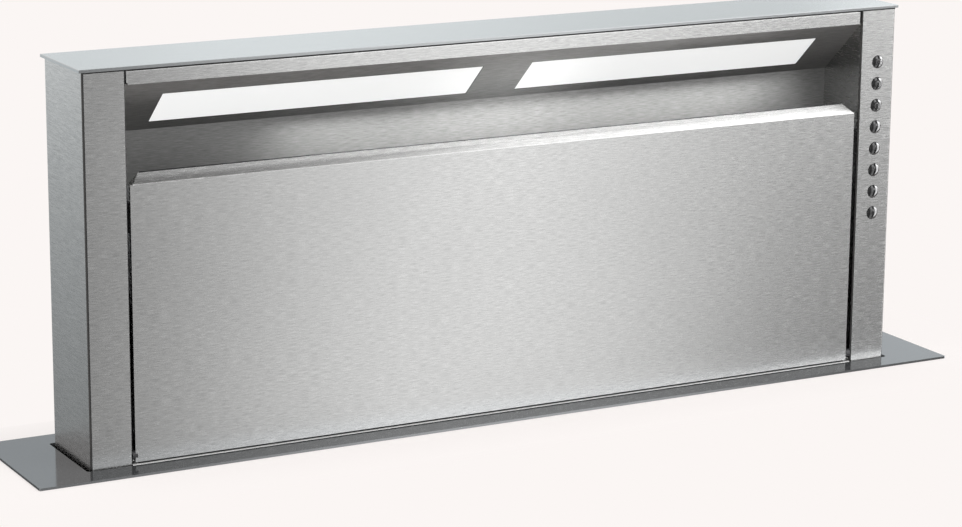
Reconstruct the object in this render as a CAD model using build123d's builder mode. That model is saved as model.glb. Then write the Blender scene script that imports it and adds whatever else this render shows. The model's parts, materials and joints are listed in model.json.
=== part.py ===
from build123d import *
import os
from math import atan2, cos, hypot, radians, sin

# A downdraft vent for a kitchen worktop. A slim tower rises out of a slot in a flat worktop frame, draws the
# fumes in through the long slot above its front panel, and sinks back until its lid lies flush in the frame.
# Under the worktop a sheet case carries the guides, the screw lift, the duct collar and the control box.
#
# Millimetres. +X to the right as seen from the front, +Y to the back, +Z up. The origin is the middle of the
# tower's plan at the worktop's surface. The tower is drawn up.

# ---------------------------------------------------------------- driving dimensions
# tower
tower_width = 950.0
tower_depth = 100.0
rise = 400.0  # from the worktop frame's face to the lid's top when up, which is also the travel
tower_below = 118.0  # what stays under the worktop when the tower is up
skin = 1.5  # outer sheets
inner_sheet = 1.2  # inner sheets
post_width = 44.5
bend = 2.0  # outside radius of a fold

# lid and its carrier
lid_thickness = 3.0
lid_over_side = 3.0
lid_over_front = 1.0
lid_over_back = 5.0
lid_edge = 0.5
lid_shadow = 0.8  # gap between the lid and the tops of the posts
carrier_height = 12.0
carrier_inset = 6.0  # from the tower's front and back

# worktop frame
frame_thickness = 2.5
frame_side = 65.0
frame_front = 31.5
frame_back = 36.5
frame_corner = 1.5
lid_gap = 1.5  # between the closed lid and the slot's edge
slot_corner = 4.0
collar_sheet = 1.5
collar_height = 20.0
collar_shoulder = 1.0  # from the slot's edge to the collar's inner face
gasket_thickness = 1.0
gasket_width = 8.0
gasket_inset = 4.0
gasket_fit = 0.2

# head and recess
head_height = 14.3
head_gap = 2.5
recess_depth = 68.0  # from the front plane to the recess's rear wall
soffit_drop = 59.0
wall_overlap = 26.0  # how far the rear wall goes down behind the panel's top

# lamps in the soffit
lamp_end_gap = 46.0  # between a window and the recess's end wall
lamp_middle_gap = 57.0
lamp_width = 52.5
lamp_down = 48.8  # middle of the window, along the soffit from its front edge
lamp_fit = 0.25
lamp_glass = 3.0
lamp_rim = 6.0
lamp_case_height = 14.0
lamp_case_wall = 1.5

# front panel
panel_gap = 5.75
panel_lift = 2.2  # panel's lower edge above the worktop frame's face
panel_face = 280.8
panel_depth = 11.0
bevel_rise = 10.5
panel_sheet = 1.2
panel_back_fit = 0.2
pivot_in = 4.5
pivot_up = 6.8
pivot_radius = 3.0
pivot_clearance = 0.2
pivot_reach = 6.0
shoulder_radius = 5.0
shoulder_gap = 0.4
magnet_width = 18.0
magnet_height = 30.0
magnet_depth = 8.5
magnet_down = 20.0  # below the panel's shoulder
magnet_gap = 0.3

# grease filters, their top rail and the drip tray
filter_count = 3
filter_thickness = 12.0
filter_tilt = 11.35
filter_gap = 2.0
filter_side_gap = 2.5
filter_border = 10.0
baffle_width = 16.0
baffle_pitch = 26.0
baffle_sheet = 1.0
baffle_leg = 6.0
baffle_root = 1.0  # how far a baffle's end goes into the border
rail_depth = 9.0
rail_fit = 0.3
tray_height = 16.7
tray_lip = 13.5
tray_margin = 3.5
tray_ledge = 1.5
tray_rear_margin = 6.0
seat_gap = 0.3

# lower end of the tower
sill_gap = 2.0
sill_depth = 40.0
base_thickness = 3.0
base_rim_side = 50.0
base_rim = 8.0
base_flange = 18.0
nut_radius = 11.0
nut_flange_radius = 17.0
nut_flange = 5.0
nut_height = 18.0
nut_fit = 0.2

# buttons
button_count = 8
button_pitch = 24.27
button_down = 61.7  # first button's middle below the lid's top
button_inset = 21.4  # from the tower's side
button_radius = 6.8
button_gap = 0.5
button_proud = 2.2
button_dome = 1.5
button_travel = 1.5
button_flange_radius = 8.6
button_flange = 1.5
button_rest_gap = 0.1
switch_gap = 0.2
switch_size = 6.0
switch_height = 3.0
board_thickness = 1.6
board_width = 34.0
board_margin = 14.0
standoff_radius = 2.5
standoff_inset = 4.0

# guides
side_room = 5.0  # between the collar and the case's side wall
guide_run = 2.0  # between the tower's side and the rail
guide_width = 46.0
guide_sheet = 2.0
guide_slot = 22.0
guide_fit = 0.3
guide_top = 22.0  # below the worktop's surface
guide_spare = 12.0  # rail left under the lowered slider
slider_length = 90.0

# case under the worktop
case_height = 750.0
case_sheet = 1.5
case_flange = 12.0
duct_floor_up = 50.0
outlet_radius = 74.5
outlet_wall = 1.2
outlet_length = 45.0
outlet_fit = 0.3
outlet_flange = 90.0
outlet_in = 267.0  # outlet's middle from the case's left wall
outlet_up = 130.0  # outlet's middle above the case's underside
bracket_sheet = 2.0
bracket_width = 90.0
bracket_leg = 35.0
bracket_drop = 45.0
bracket_hole_radius = 3.25
bracket_hole_spacing = 60.0
bracket_hole_out = 21.5
worktop_thickness = 40.0

# control box on the case's front
box_width = 240.0
box_height = 150.0
box_depth = 38.0
box_wall = 1.5
box_in = 117.0  # from the case's right wall
box_down = 180.0
cover_lip = 8.0
cover_fit = 0.2
gland_radius = 8.0
gland_nut_radius = 12.0
gland_nut_height = 6.0
gland_length = 16.0
gland_bore_radius = 4.5
gland_in = 3.0
gland_fit = 0.1

# screw lift
screw_radius = 8.0
screw_y = 10.0
screw_spare = 15.0  # screw above the raised nut
screw_clearance = 0.3
journal_radius = 5.0
journal_clearance = 0.1
foot_height = 26.0
foot_radius = 14.0
foot_gap = 0.3
bush_radius = 11.0
bush_flange_radius = 18.0
bush_flange = 4.0
bush_below = 3.0
bush_clearance = 0.1
pulley_radius = 16.0
pulley_flange_radius = 19.0
pulley_flange = 1.2
pulley_height = 12.0
pulley_up = 4.0  # above the screw's shoulder
pulley_fit = 0.05
belt_thickness = 1.4
belt_fit = 0.1
gearbox_width = 50.0
gearbox_depth = 68.0
gearbox_edge = 3.0
motor_radius = 15.0
motor_length = 85.0
motor_offset = 22.0
motor_lift = 0.5  # above the case's floor
motor_cap = 6.0
motor_cap_radius = 13.0
limit_width = 20.0
limit_depth = 6.5
limit_height = 20.0
limit_switch_in = 187.0  # from the case's right wall

# ---------------------------------------------------------------- places worked out from them
half_width = tower_width / 2
front = -tower_depth / 2
back = tower_depth / 2
foot = -tower_below
lid_top = frame_thickness + rise
lid_under = lid_top - lid_thickness
skin_top = lid_under - lid_shadow
post_inner = half_width - post_width
screw_x = half_width - post_width / 2

slot_side = half_width + lid_over_side + lid_gap
slot_front = front - lid_over_front - lid_gap
slot_back = back + lid_over_back + lid_gap
case_side = slot_side + collar_shoulder + collar_sheet + side_room
case_front = slot_front - collar_shoulder - collar_sheet
case_back = slot_back + collar_shoulder + collar_sheet
case_bottom = -case_height
floor_top = case_bottom + case_sheet
outlet_x = outlet_in - case_side
box_x = case_side - box_in - box_width / 2
limit_switch_x = case_side - limit_switch_in
case_mid_y = (case_front + case_back) / 2
case_span_y = case_back - case_front

head_bottom = skin_top - head_height
soffit_front = front + skin
wall_y = front + recess_depth
soffit_run = wall_y - soffit_front
soffit_angle = atan2(soffit_drop, soffit_run)
soffit_end = head_bottom - soffit_drop
panel_bottom = frame_thickness + panel_lift
panel_shoulder = panel_bottom + panel_face
panel_top = panel_shoulder + bevel_rise
panel_back = front + panel_depth
panel_half = post_inner - panel_gap
wall_foot = panel_top - wall_overlap
sill_top = panel_bottom - sill_gap

tilt = radians(filter_tilt)
rail_inner = filter_thickness + 2 * rail_fit
rail_outer = rail_inner + 2 * inner_sheet
filter_front_in = inner_sheet + rail_fit  # filter's front face behind the wall's foot, square to the filter
filter_rear_in = filter_front_in + filter_thickness
ledge_top = sill_top + tray_height
filter_drop = (wall_foot - filter_rear_in * sin(tilt) - ledge_top - seat_gap) / cos(tilt)
filter_length = filter_drop - filter_front_in
toe_y = wall_y + filter_front_in * cos(tilt) - filter_drop * sin(tilt)
toe_z = wall_foot - filter_front_in * sin(tilt) - filter_drop * cos(tilt)
heel_y = toe_y + filter_thickness * cos(tilt)
filter_width = (2 * (post_inner - filter_side_gap) - (filter_count - 1) * filter_gap) / filter_count

nut_top = foot + nut_height - base_thickness
screw_top = nut_top + screw_spare
duct_floor_top = case_bottom + duct_floor_up
shoulder_z = floor_top + foot_height + foot_gap
pulley_z = shoulder_z + pulley_up
outlet_z = case_bottom + outlet_up
lowered_foot = foot - rise

os.makedirs("parts", exist_ok=True)

# ---------------------------------------------------------------- worktop frame
frame_width = tower_width + 2 * frame_side
frame_depth = tower_depth + frame_front + frame_back
frame_mid_y = (frame_back - frame_front) / 2
slot_width = 2 * slot_side
slot_depth = slot_back - slot_front
slot_mid_y = (slot_front + slot_back) / 2
gasket_outer_x = frame_width - 2 * gasket_inset
gasket_outer_y = frame_depth - 2 * gasket_inset
gasket_inner_x = gasket_outer_x - 2 * gasket_width
gasket_inner_y = gasket_outer_y - 2 * gasket_width
collar_outer_x = 2 * (slot_side + collar_shoulder + collar_sheet)
with BuildPart() as worktop_frame:
    with BuildSketch(Plane.XY):
        with Locations((0, frame_mid_y)):
            RectangleRounded(frame_width, frame_depth, frame_corner)
        with Locations((0, slot_mid_y)):
            RectangleRounded(slot_width, slot_depth, slot_corner, mode=Mode.SUBTRACT)
    extrude(amount=frame_thickness)
    with BuildSketch(Plane.XY):
        with Locations((0, frame_mid_y)):
            Rectangle(gasket_outer_x, gasket_outer_y)
            Rectangle(gasket_inner_x, gasket_inner_y, mode=Mode.SUBTRACT)
    extrude(amount=gasket_thickness, mode=Mode.SUBTRACT)
    with BuildSketch(Plane.XY):
        with Locations((0, slot_mid_y)):
            RectangleRounded(collar_outer_x, case_span_y, slot_corner + collar_shoulder + collar_sheet)
            RectangleRounded(
                collar_outer_x - 2 * collar_sheet,
                case_span_y - 2 * collar_sheet,
                slot_corner + collar_shoulder,
                mode=Mode.SUBTRACT,
            )
    extrude(amount=-collar_height)
worktop_frame.part.label = "worktop_frame"
export_step(worktop_frame.part, "parts/worktop_frame.step")

with BuildPart() as frame_gasket:
    with BuildSketch(Plane.XY):
        with Locations((0, frame_mid_y)):
            Rectangle(gasket_outer_x - 2 * gasket_fit, gasket_outer_y - 2 * gasket_fit)
            Rectangle(gasket_inner_x + 2 * gasket_fit, gasket_inner_y + 2 * gasket_fit, mode=Mode.SUBTRACT)
    extrude(amount=gasket_thickness)
frame_gasket.part.label = "frame_gasket"
export_step(frame_gasket.part, "parts/frame_gasket.step")

# ---------------------------------------------------------------- tower's skins
# A post is one folded channel: side wall, front and the return that is the recess's end wall.
with BuildPart() as post_blank:
    with BuildSketch(Plane.XY.offset(foot)):
        with BuildLine():
            FilletPolyline(
                (half_width, back - skin),
                (half_width, front),
                (post_inner, front),
                (post_inner, back - skin),
                radius=bend,
            )
            offset(amount=skin, side=Side.RIGHT)
        make_face()
    extrude(amount=skin_top - foot)
with BuildPart() as post_left:
    mirror(post_blank.part, about=Plane.YZ)
post_left.part.label = "post_left"
export_step(post_left.part, "parts/post_left.step")

button_x = half_width - button_inset
button_zs = [lid_top - button_down - button_pitch * number for number in range(button_count)]
button_hole_radius = button_radius + button_gap
with BuildPart() as post_right:
    add(post_blank.part)
    with BuildSketch(Plane.XZ.offset(-front)):
        with Locations(*[(button_x, z) for z in button_zs]):
            Circle(button_hole_radius)
    extrude(amount=-2 * skin, mode=Mode.SUBTRACT)
post_right.part.label = "post_right"
export_step(post_right.part, "parts/post_right.step")

with BuildPart() as tower_back:
    with BuildSketch(Plane.XZ.offset(-back)):
        with Locations((0, (foot + skin_top) / 2)):
            Rectangle(tower_width, skin_top - foot)
    extrude(amount=skin)
tower_back.part.label = "tower_back"
export_step(tower_back.part, "parts/tower_back.step")

# The sill closes the tower's front under the panel and turns back to carry the drip tray.
with BuildPart() as sill_panel:
    with BuildSketch(Plane.YZ):
        with BuildLine():
            FilletPolyline((front, foot), (front, sill_top), (front + sill_depth, sill_top), radius=bend)
            offset(amount=skin, side=Side.RIGHT)
        make_face()
    extrude(amount=post_inner, both=True)
sill_panel.part.label = "sill_panel"
export_step(sill_panel.part, "parts/sill_panel.step")

with BuildPart() as lid:
    with BuildSketch(Plane.XY.offset(lid_under)):
        with Locations((0, (lid_over_back - lid_over_front) / 2)):
            Rectangle(tower_width + 2 * lid_over_side, tower_depth + lid_over_front + lid_over_back)
    extrude(amount=lid_thickness)
    fillet(lid.faces().sort_by(Axis.Z)[-1].edges(), radius=lid_edge)
lid.part.label = "lid"
export_step(lid.part, "parts/lid.step")

with BuildPart() as lid_carrier:
    with BuildSketch(Plane.XY.offset(lid_under - carrier_height)):
        Rectangle(2 * post_inner, tower_depth - 2 * carrier_inset)
    extrude(amount=carrier_height)
    offset(amount=-inner_sheet, openings=lid_carrier.faces().sort_by(Axis.Z)[0])
lid_carrier.part.label = "lid_carrier"
export_step(lid_carrier.part, "parts/lid_carrier.step")

# ---------------------------------------------------------------- head, recess and lamps
with BuildPart() as head_fascia:
    with BuildSketch(Plane.YZ):
        with BuildLine():
            FilletPolyline(
                (front, head_bottom),
                (front, skin_top),
                (front + carrier_inset, skin_top),
                radius=bend,
            )
            offset(amount=skin, side=Side.RIGHT)
        make_face()
    extrude(amount=post_inner - head_gap, both=True)
head_fascia.part.label = "head_fascia"
export_step(head_fascia.part, "parts/head_fascia.step")

soffit_plane = Plane(
    origin=(0, soffit_front + lamp_down * cos(soffit_angle), head_bottom - lamp_down * sin(soffit_angle)),
    x_dir=(1, 0, 0),
    z_dir=(0, sin(soffit_angle), cos(soffit_angle)),
)
lamp_length = post_inner - lamp_end_gap - lamp_middle_gap / 2
lamp_xs = (-(lamp_middle_gap + lamp_length) / 2, (lamp_middle_gap + lamp_length) / 2)
with BuildPart() as recess_liner:
    with BuildSketch(Plane.YZ):
        with BuildLine():
            Polyline(
                (soffit_front, head_bottom),
                (wall_y, soffit_end),
                (wall_y, wall_foot),
                (wall_y + rail_outer * cos(tilt), wall_foot - rail_outer * sin(tilt)),
            )
            offset(amount=inner_sheet, side=Side.LEFT, kind=Kind.INTERSECTION)
        make_face()
    extrude(amount=post_inner, both=True)
    with BuildSketch(soffit_plane):
        with Locations(*[(x, 0) for x in lamp_xs]):
            Rectangle(lamp_length, lamp_width)
    extrude(amount=inner_sheet, both=True, mode=Mode.SUBTRACT)
recess_liner.part.label = "recess_liner"
export_step(recess_liner.part, "parts/recess_liner.step")

for name, x in zip(("left", "right"), lamp_xs):
    with BuildPart() as lamp_cover:
        with BuildSketch(soffit_plane):
            with Locations((x, 0)):
                Rectangle(lamp_length - 2 * lamp_fit, lamp_width - 2 * lamp_fit)
        extrude(amount=lamp_glass)
    lamp_cover.part.label = f"lamp_cover_{name}"
    export_step(lamp_cover.part, f"parts/lamp_cover_{name}.step")

    with BuildPart() as lamp_housing:
        with BuildSketch(soffit_plane.offset(inner_sheet)):
            with Locations((x, 0)):
                Rectangle(lamp_length + 2 * lamp_rim, lamp_width + 2 * lamp_rim)
        extrude(amount=lamp_case_height)
        with BuildSketch(soffit_plane.offset(inner_sheet)):
            with Locations((x, 0)):
                Rectangle(lamp_length, lamp_width)
        extrude(amount=lamp_case_height - lamp_case_wall, mode=Mode.SUBTRACT)
    lamp_housing.part.label = f"lamp_housing_{name}"
    export_step(lamp_housing.part, f"parts/lamp_housing_{name}.step")

# ---------------------------------------------------------------- front panel
# A folded tray with a bevelled top whose ends are mitred, closed behind by a plain sheet.
pivot_y = front + pivot_in
pivot_z = panel_bottom + pivot_up
with BuildPart() as front_panel:
    with BuildSketch(Plane.YZ):
        with BuildLine():
            Polyline(
                (front, panel_bottom),
                (front, panel_shoulder),
                (panel_back, panel_top),
                (panel_back, panel_bottom),
                close=True,
            )
        make_face()
    extrude(amount=panel_half, both=True)
    with BuildSketch(Plane.XZ.offset(-panel_back)):
        with BuildLine():
            Polyline(
                (panel_half, panel_shoulder),
                (panel_half, panel_top),
                (panel_half - bevel_rise, panel_top),
                close=True,
            )
        make_face()
        mirror(about=Plane.YZ)
    extrude(amount=panel_depth, mode=Mode.SUBTRACT)
    offset(amount=-panel_sheet, openings=front_panel.faces().sort_by(Axis.Y)[-1], kind=Kind.INTERSECTION)
    with BuildSketch(Plane.YZ.offset(-panel_half)):
        with Locations((pivot_y, pivot_z)):
            Circle(pivot_radius + pivot_clearance)
    extrude(amount=2 * panel_half, mode=Mode.SUBTRACT)
front_panel.part.label = "front_panel"
export_step(front_panel.part, "parts/front_panel.step")

# The liner clears the tray's inner faces: its sides, the slope of the bevel and the mitred ends.
liner_side = panel_half - panel_sheet - panel_back_fit
liner_foot = panel_bottom + panel_sheet + panel_back_fit
bevel_slant = (bevel_rise + hypot(bevel_rise, panel_depth)) / panel_depth
liner_top = panel_top - panel_sheet * bevel_slant - panel_back_fit
mitre_sum = panel_half + panel_shoulder - hypot(1, 1) * (panel_sheet + panel_back_fit)
with BuildPart() as panel_liner:
    with BuildSketch(Plane.XZ.offset(-panel_back)):
        with BuildLine():
            Polyline(
                (0, liner_foot),
                (liner_side, liner_foot),
                (liner_side, mitre_sum - liner_side),
                (mitre_sum - liner_top, liner_top),
                (0, liner_top),
                close=True,
            )
        make_face()
        mirror(about=Plane.YZ)
    extrude(amount=panel_sheet)
panel_liner.part.label = "panel_liner"
export_step(panel_liner.part, "parts/panel_liner.step")

with BuildPart() as panel_pivots:
    with BuildSketch(Plane.YZ.offset(post_inner)):
        with Locations((pivot_y, pivot_z)):
            Circle(pivot_radius)
    extrude(amount=-panel_gap - panel_sheet - pivot_reach)
    with BuildSketch(Plane.YZ.offset(post_inner)):
        with Locations((pivot_y, pivot_z)):
            Circle(shoulder_radius)
    extrude(amount=-panel_gap + shoulder_gap)
    mirror(about=Plane.YZ)
panel_pivots.part.label = "panel_pivots"
export_step(panel_pivots.part, "parts/panel_pivots.step")

magnet_y = panel_back + magnet_gap
magnet_z = panel_shoulder - magnet_down - magnet_height / 2
with BuildPart() as panel_magnets:
    with BuildSketch(Plane.YZ.offset(post_inner)):
        with Locations((magnet_y + magnet_depth / 2, magnet_z)):
            Rectangle(magnet_depth, magnet_height)
    extrude(amount=-magnet_width)
    mirror(about=Plane.YZ)
panel_magnets.part.label = "panel_magnets"
export_step(panel_magnets.part, "parts/panel_magnets.step")

# ---------------------------------------------------------------- grease filters
# The wall's foot turns back square to the filters and carries their top rail; the filters lean forward from
# it down to the ledge of the drip tray. Each one holds two rows of channels that face each other half a pitch
# apart, so that the air turns round the channels' legs and drops its grease.
wall_foot_plane = Plane(origin=(0, wall_y, wall_foot), x_dir=(0, cos(tilt), -sin(tilt)), z_dir=(1, 0, 0))
with BuildPart() as filter_rail:
    with BuildSketch(wall_foot_plane):
        with Locations((rail_outer / 2, -rail_depth / 2)):
            Rectangle(rail_outer, rail_depth)
        with Locations((rail_outer / 2, -inner_sheet - rail_depth / 2)):
            Rectangle(rail_inner, rail_depth, mode=Mode.SUBTRACT)
    extrude(amount=post_inner, both=True)
filter_rail.part.label = "filter_rail"
export_step(filter_rail.part, "parts/filter_rail.step")

toe = Vector(0, toe_y, toe_z)
filter_plane = Plane(origin=toe, x_dir=(1, 0, 0), z_dir=(0, -cos(tilt), sin(tilt)))
baffle_length = filter_length - 2 * filter_border + 2 * baffle_root
baffle_start = toe + filter_plane.y_dir * (filter_border - baffle_root)
baffle_plane = Plane(origin=baffle_start, x_dir=(1, 0, 0), z_dir=filter_plane.y_dir)
filter_mouth = filter_width - 2 * filter_border
front_baffles = int(filter_mouth / baffle_pitch)
filter_step = filter_width + filter_gap
for name, x in (("left", -filter_step), ("middle", 0), ("right", filter_step)):
    with BuildPart() as filter_cassette:
        with BuildSketch(filter_plane):
            with Locations((x, filter_length / 2)):
                Rectangle(filter_width, filter_length)
                Rectangle(filter_mouth, filter_length - 2 * filter_border, mode=Mode.SUBTRACT)
        extrude(amount=-filter_thickness)
        with BuildSketch(baffle_plane):
            with Locations((x, 0)):
                with GridLocations(baffle_pitch, 1, front_baffles, 1):
                    with Locations((0, baffle_sheet + baffle_leg / 2)):
                        Rectangle(baffle_width, baffle_leg)
                    with Locations((0, 2 * baffle_sheet + baffle_leg / 2)):
                        Rectangle(baffle_width - 2 * baffle_sheet, baffle_leg, mode=Mode.SUBTRACT)
                with GridLocations(baffle_pitch, 1, front_baffles - 1, 1):
                    with Locations((0, filter_thickness - baffle_sheet - baffle_leg / 2)):
                        Rectangle(baffle_width, baffle_leg)
                    with Locations((0, filter_thickness - 2 * baffle_sheet - baffle_leg / 2)):
                        Rectangle(baffle_width - 2 * baffle_sheet, baffle_leg, mode=Mode.SUBTRACT)
        extrude(amount=baffle_length)
    filter_cassette.part.label = f"filter_{name}"
    export_step(filter_cassette.part, f"parts/filter_{name}.step")

tray_rear = heel_y + tray_rear_margin
with BuildPart() as drip_tray:
    with BuildSketch(Plane.YZ):
        with BuildLine():
            Polyline(
                (toe_y - tray_margin, sill_top + tray_lip),
                (toe_y - tray_margin, sill_top),
                (tray_rear, sill_top),
                (tray_rear, ledge_top),
                (heel_y - tray_ledge, ledge_top),
            )
            offset(amount=inner_sheet, side=Side.LEFT, kind=Kind.INTERSECTION)
        make_face()
    extrude(amount=post_inner, both=True)
drip_tray.part.label = "drip_tray"
export_step(drip_tray.part, "parts/drip_tray.step")

# ---------------------------------------------------------------- tower's base, nuts and sliders
with BuildPart() as tower_base:
    with BuildSketch(Plane.XY.offset(foot)):
        Rectangle(tower_width, tower_depth)
        Rectangle(tower_width - 2 * base_rim_side, tower_depth - 2 * base_rim, mode=Mode.SUBTRACT)
        with Locations((-screw_x, screw_y), (screw_x, screw_y)):
            Circle(nut_radius + nut_fit, mode=Mode.SUBTRACT)
    extrude(amount=-base_thickness)
    with BuildSketch(Plane.XY.offset(foot)):
        Rectangle(2 * post_inner, tower_depth - 2 * skin)
        Rectangle(2 * post_inner, tower_depth - 4 * skin, mode=Mode.SUBTRACT)
    extrude(amount=base_flange)
tower_base.part.label = "tower_base"
export_step(tower_base.part, "parts/tower_base.step")

base_under = foot - base_thickness
slider_neck_end = half_width + guide_run + guide_sheet + guide_fit
slider_head_end = case_side - guide_sheet - guide_fit
for name, side in (("left", -1), ("right", 1)):
    with BuildPart() as lift_nut:
        with BuildSketch(Plane.XY.offset(base_under)):
            with Locations((side * screw_x, screw_y)):
                Circle(nut_radius)
        extrude(amount=nut_height)
        with BuildSketch(Plane.XY.offset(base_under)):
            with Locations((side * screw_x, screw_y)):
                Circle(nut_flange_radius)
        extrude(amount=-nut_flange)
        with BuildSketch(Plane.XY.offset(base_under - nut_flange)):
            with Locations((side * screw_x, screw_y)):
                Circle(screw_radius + screw_clearance)
        extrude(amount=nut_flange + nut_height, mode=Mode.SUBTRACT)
    lift_nut.part.label = f"lift_nut_{name}"
    export_step(lift_nut.part, f"parts/lift_nut_{name}.step")

    with BuildPart() as slider:
        with BuildSketch(Plane.XY.offset(foot)):
            with Locations((side * (half_width + slider_neck_end) / 2, 0)):
                Rectangle(slider_neck_end - half_width, guide_slot - 2 * guide_fit)
            with Locations((side * (slider_neck_end + slider_head_end) / 2, 0)):
                Rectangle(slider_head_end - slider_neck_end, guide_width - 2 * (guide_sheet + guide_fit))
        extrude(amount=slider_length)
    slider.part.label = f"slider_{name}"
    export_step(slider.part, f"parts/slider_{name}.step")

    with BuildPart() as guide_rail:
        with BuildSketch(Plane.XY.offset(lowered_foot - guide_spare)):
            with Locations((side * (half_width + guide_run + case_side) / 2, 0)):
                Rectangle(case_side - half_width - guide_run, guide_width)
                Rectangle(
                    case_side - half_width - guide_run - 2 * guide_sheet,
                    guide_width - 2 * guide_sheet,
                    mode=Mode.SUBTRACT,
                )
            with Locations((side * (half_width + guide_run + guide_sheet / 2), 0)):
                Rectangle(guide_sheet, guide_slot, mode=Mode.SUBTRACT)
        extrude(amount=guide_spare - lowered_foot - guide_top)
    guide_rail.part.label = f"guide_rail_{name}"
    export_step(guide_rail.part, f"parts/guide_rail_{name}.step")

# ---------------------------------------------------------------- buttons and their switch board
# A button is a domed plunger. Its flange rests behind the post's front, and pressed home it meets its switch.
button_tip = front - button_proud
button_rim = button_tip + button_dome
button_stop = front + skin + button_rest_gap
button_end = button_stop + button_flange
button_names = ("lamp", "filter", "delay", "boost", "3", "2", "1", "0")
for name, z in zip(button_names, button_zs):
    with BuildPart() as button:
        with BuildSketch(Plane(origin=(button_x, 0, z), x_dir=(1, 0, 0), z_dir=(0, 0, 1))):
            with BuildLine():
                TangentArc((0, button_tip), (button_radius, button_rim), tangent=(1, 0))
                Polyline(
                    (button_radius, button_rim),
                    (button_radius, button_stop),
                    (button_flange_radius, button_stop),
                    (button_flange_radius, button_end),
                    (0, button_end),
                    (0, button_tip),
                )
            make_face()
        revolve(axis=Axis((button_x, 0, z), (0, 1, 0)))
    button.part.label = f"button_{name}"
    export_step(button.part, f"parts/button_{name}.step")

switch_face = button_end + button_travel + switch_gap
board_face = switch_face + switch_height
board_top = button_zs[0] + board_margin
board_foot = button_zs[-1] - board_margin
standoff_x = board_width / 2 - standoff_inset
standoff_z = (board_top - board_foot) / 2 - standoff_inset
with BuildPart() as button_board:
    with BuildSketch(Plane.XZ.offset(-board_face)):
        with Locations((button_x, (board_top + board_foot) / 2)):
            Rectangle(board_width, board_top - board_foot)
    extrude(amount=-board_thickness)
    with BuildSketch(Plane.XZ.offset(-board_face)):
        with Locations(*[(button_x, z) for z in button_zs]):
            Rectangle(switch_size, switch_size)
    extrude(amount=switch_height)
    with BuildSketch(Plane.XZ.offset(-board_face)):
        with Locations((button_x, (board_top + board_foot) / 2)):
            with GridLocations(2 * standoff_x, 2 * standoff_z, 2, 2):
                Circle(standoff_radius)
    extrude(amount=board_face - front - skin)
button_board.part.label = "button_board"
export_step(button_board.part, "parts/button_board.step")

# ---------------------------------------------------------------- case under the worktop
case_outer_x = case_side + case_sheet
front_face = case_front - case_sheet
back_face = case_back + case_sheet
flange_top = -collar_height - collar_shoulder
with BuildPart() as case_side_right:
    with BuildSketch(Plane.XY.offset(floor_top)):
        with BuildLine():
            FilletPolyline(
                (case_side - case_flange, case_front),
                (case_outer_x, case_front),
                (case_outer_x, case_back),
                (case_side - case_flange, case_back),
                radius=bend,
            )
            offset(amount=case_sheet, side=Side.LEFT)
        make_face()
    extrude(amount=flange_top - floor_top)
    with BuildSketch(Plane.XY.offset(flange_top)):
        with Locations((case_side + case_sheet / 2, case_mid_y)):
            Rectangle(case_sheet, case_span_y - 2 * bend)
    extrude(amount=-flange_top)
case_side_right.part.label = "case_side_right"
export_step(case_side_right.part, "parts/case_side_right.step")
with BuildPart() as case_side_left:
    mirror(case_side_right.part, about=Plane.YZ)
case_side_left.part.label = "case_side_left"
export_step(case_side_left.part, "parts/case_side_left.step")

with BuildPart() as case_front_sheet:
    with BuildSketch(Plane.XZ.offset(-case_front)):
        with Locations((0, floor_top / 2)):
            Rectangle(2 * case_outer_x, -floor_top)
        with Locations((outlet_x, outlet_z)):
            Circle(outlet_radius + outlet_fit, mode=Mode.SUBTRACT)
    extrude(amount=case_sheet)
case_front_sheet.part.label = "case_front"
export_step(case_front_sheet.part, "parts/case_front.step")

with BuildPart() as case_back_sheet:
    with BuildSketch(Plane.XZ.offset(-back_face)):
        with Locations((0, floor_top / 2)):
            Rectangle(2 * case_outer_x, -floor_top)
    extrude(amount=case_sheet)
case_back_sheet.part.label = "case_back"
export_step(case_back_sheet.part, "parts/case_back.step")

with BuildPart() as case_floor:
    with BuildSketch(Plane.XY.offset(case_bottom)):
        with Locations((0, case_mid_y)):
            Rectangle(2 * case_outer_x, back_face - front_face)
    extrude(amount=case_sheet)
case_floor.part.label = "case_floor"
export_step(case_floor.part, "parts/case_floor.step")

# The duct floor parts the air path above from the drive below.
with BuildPart() as duct_floor:
    with BuildSketch(Plane.XY.offset(duct_floor_top)):
        with Locations((0, case_mid_y)):
            Rectangle(2 * case_side, case_span_y)
            with GridLocations(2 * case_side - case_flange, case_span_y - bend, 2, 2):
                Rectangle(case_flange, bend, mode=Mode.SUBTRACT)
        with Locations((-screw_x, screw_y), (screw_x, screw_y)):
            Circle(bush_radius + nut_fit, mode=Mode.SUBTRACT)
    extrude(amount=-case_sheet)
duct_floor.part.label = "duct_floor"
export_step(duct_floor.part, "parts/duct_floor.step")

with BuildPart() as duct_outlet:
    with BuildSketch(Plane.XZ.offset(-front_face)):
        with Locations((outlet_x, outlet_z)):
            Circle(outlet_flange)
    extrude(amount=case_sheet)
    with BuildSketch(Plane.XZ.offset(-case_front)):
        with Locations((outlet_x, outlet_z)):
            Circle(outlet_radius)
    extrude(amount=case_sheet + outlet_length)
    with BuildSketch(Plane.XZ.offset(-case_front)):
        with Locations((outlet_x, outlet_z)):
            Circle(outlet_radius - outlet_wall)
    extrude(amount=case_sheet + outlet_length, mode=Mode.SUBTRACT)
duct_outlet.part.label = "duct_outlet"
export_step(duct_outlet.part, "parts/duct_outlet.step")

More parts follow.
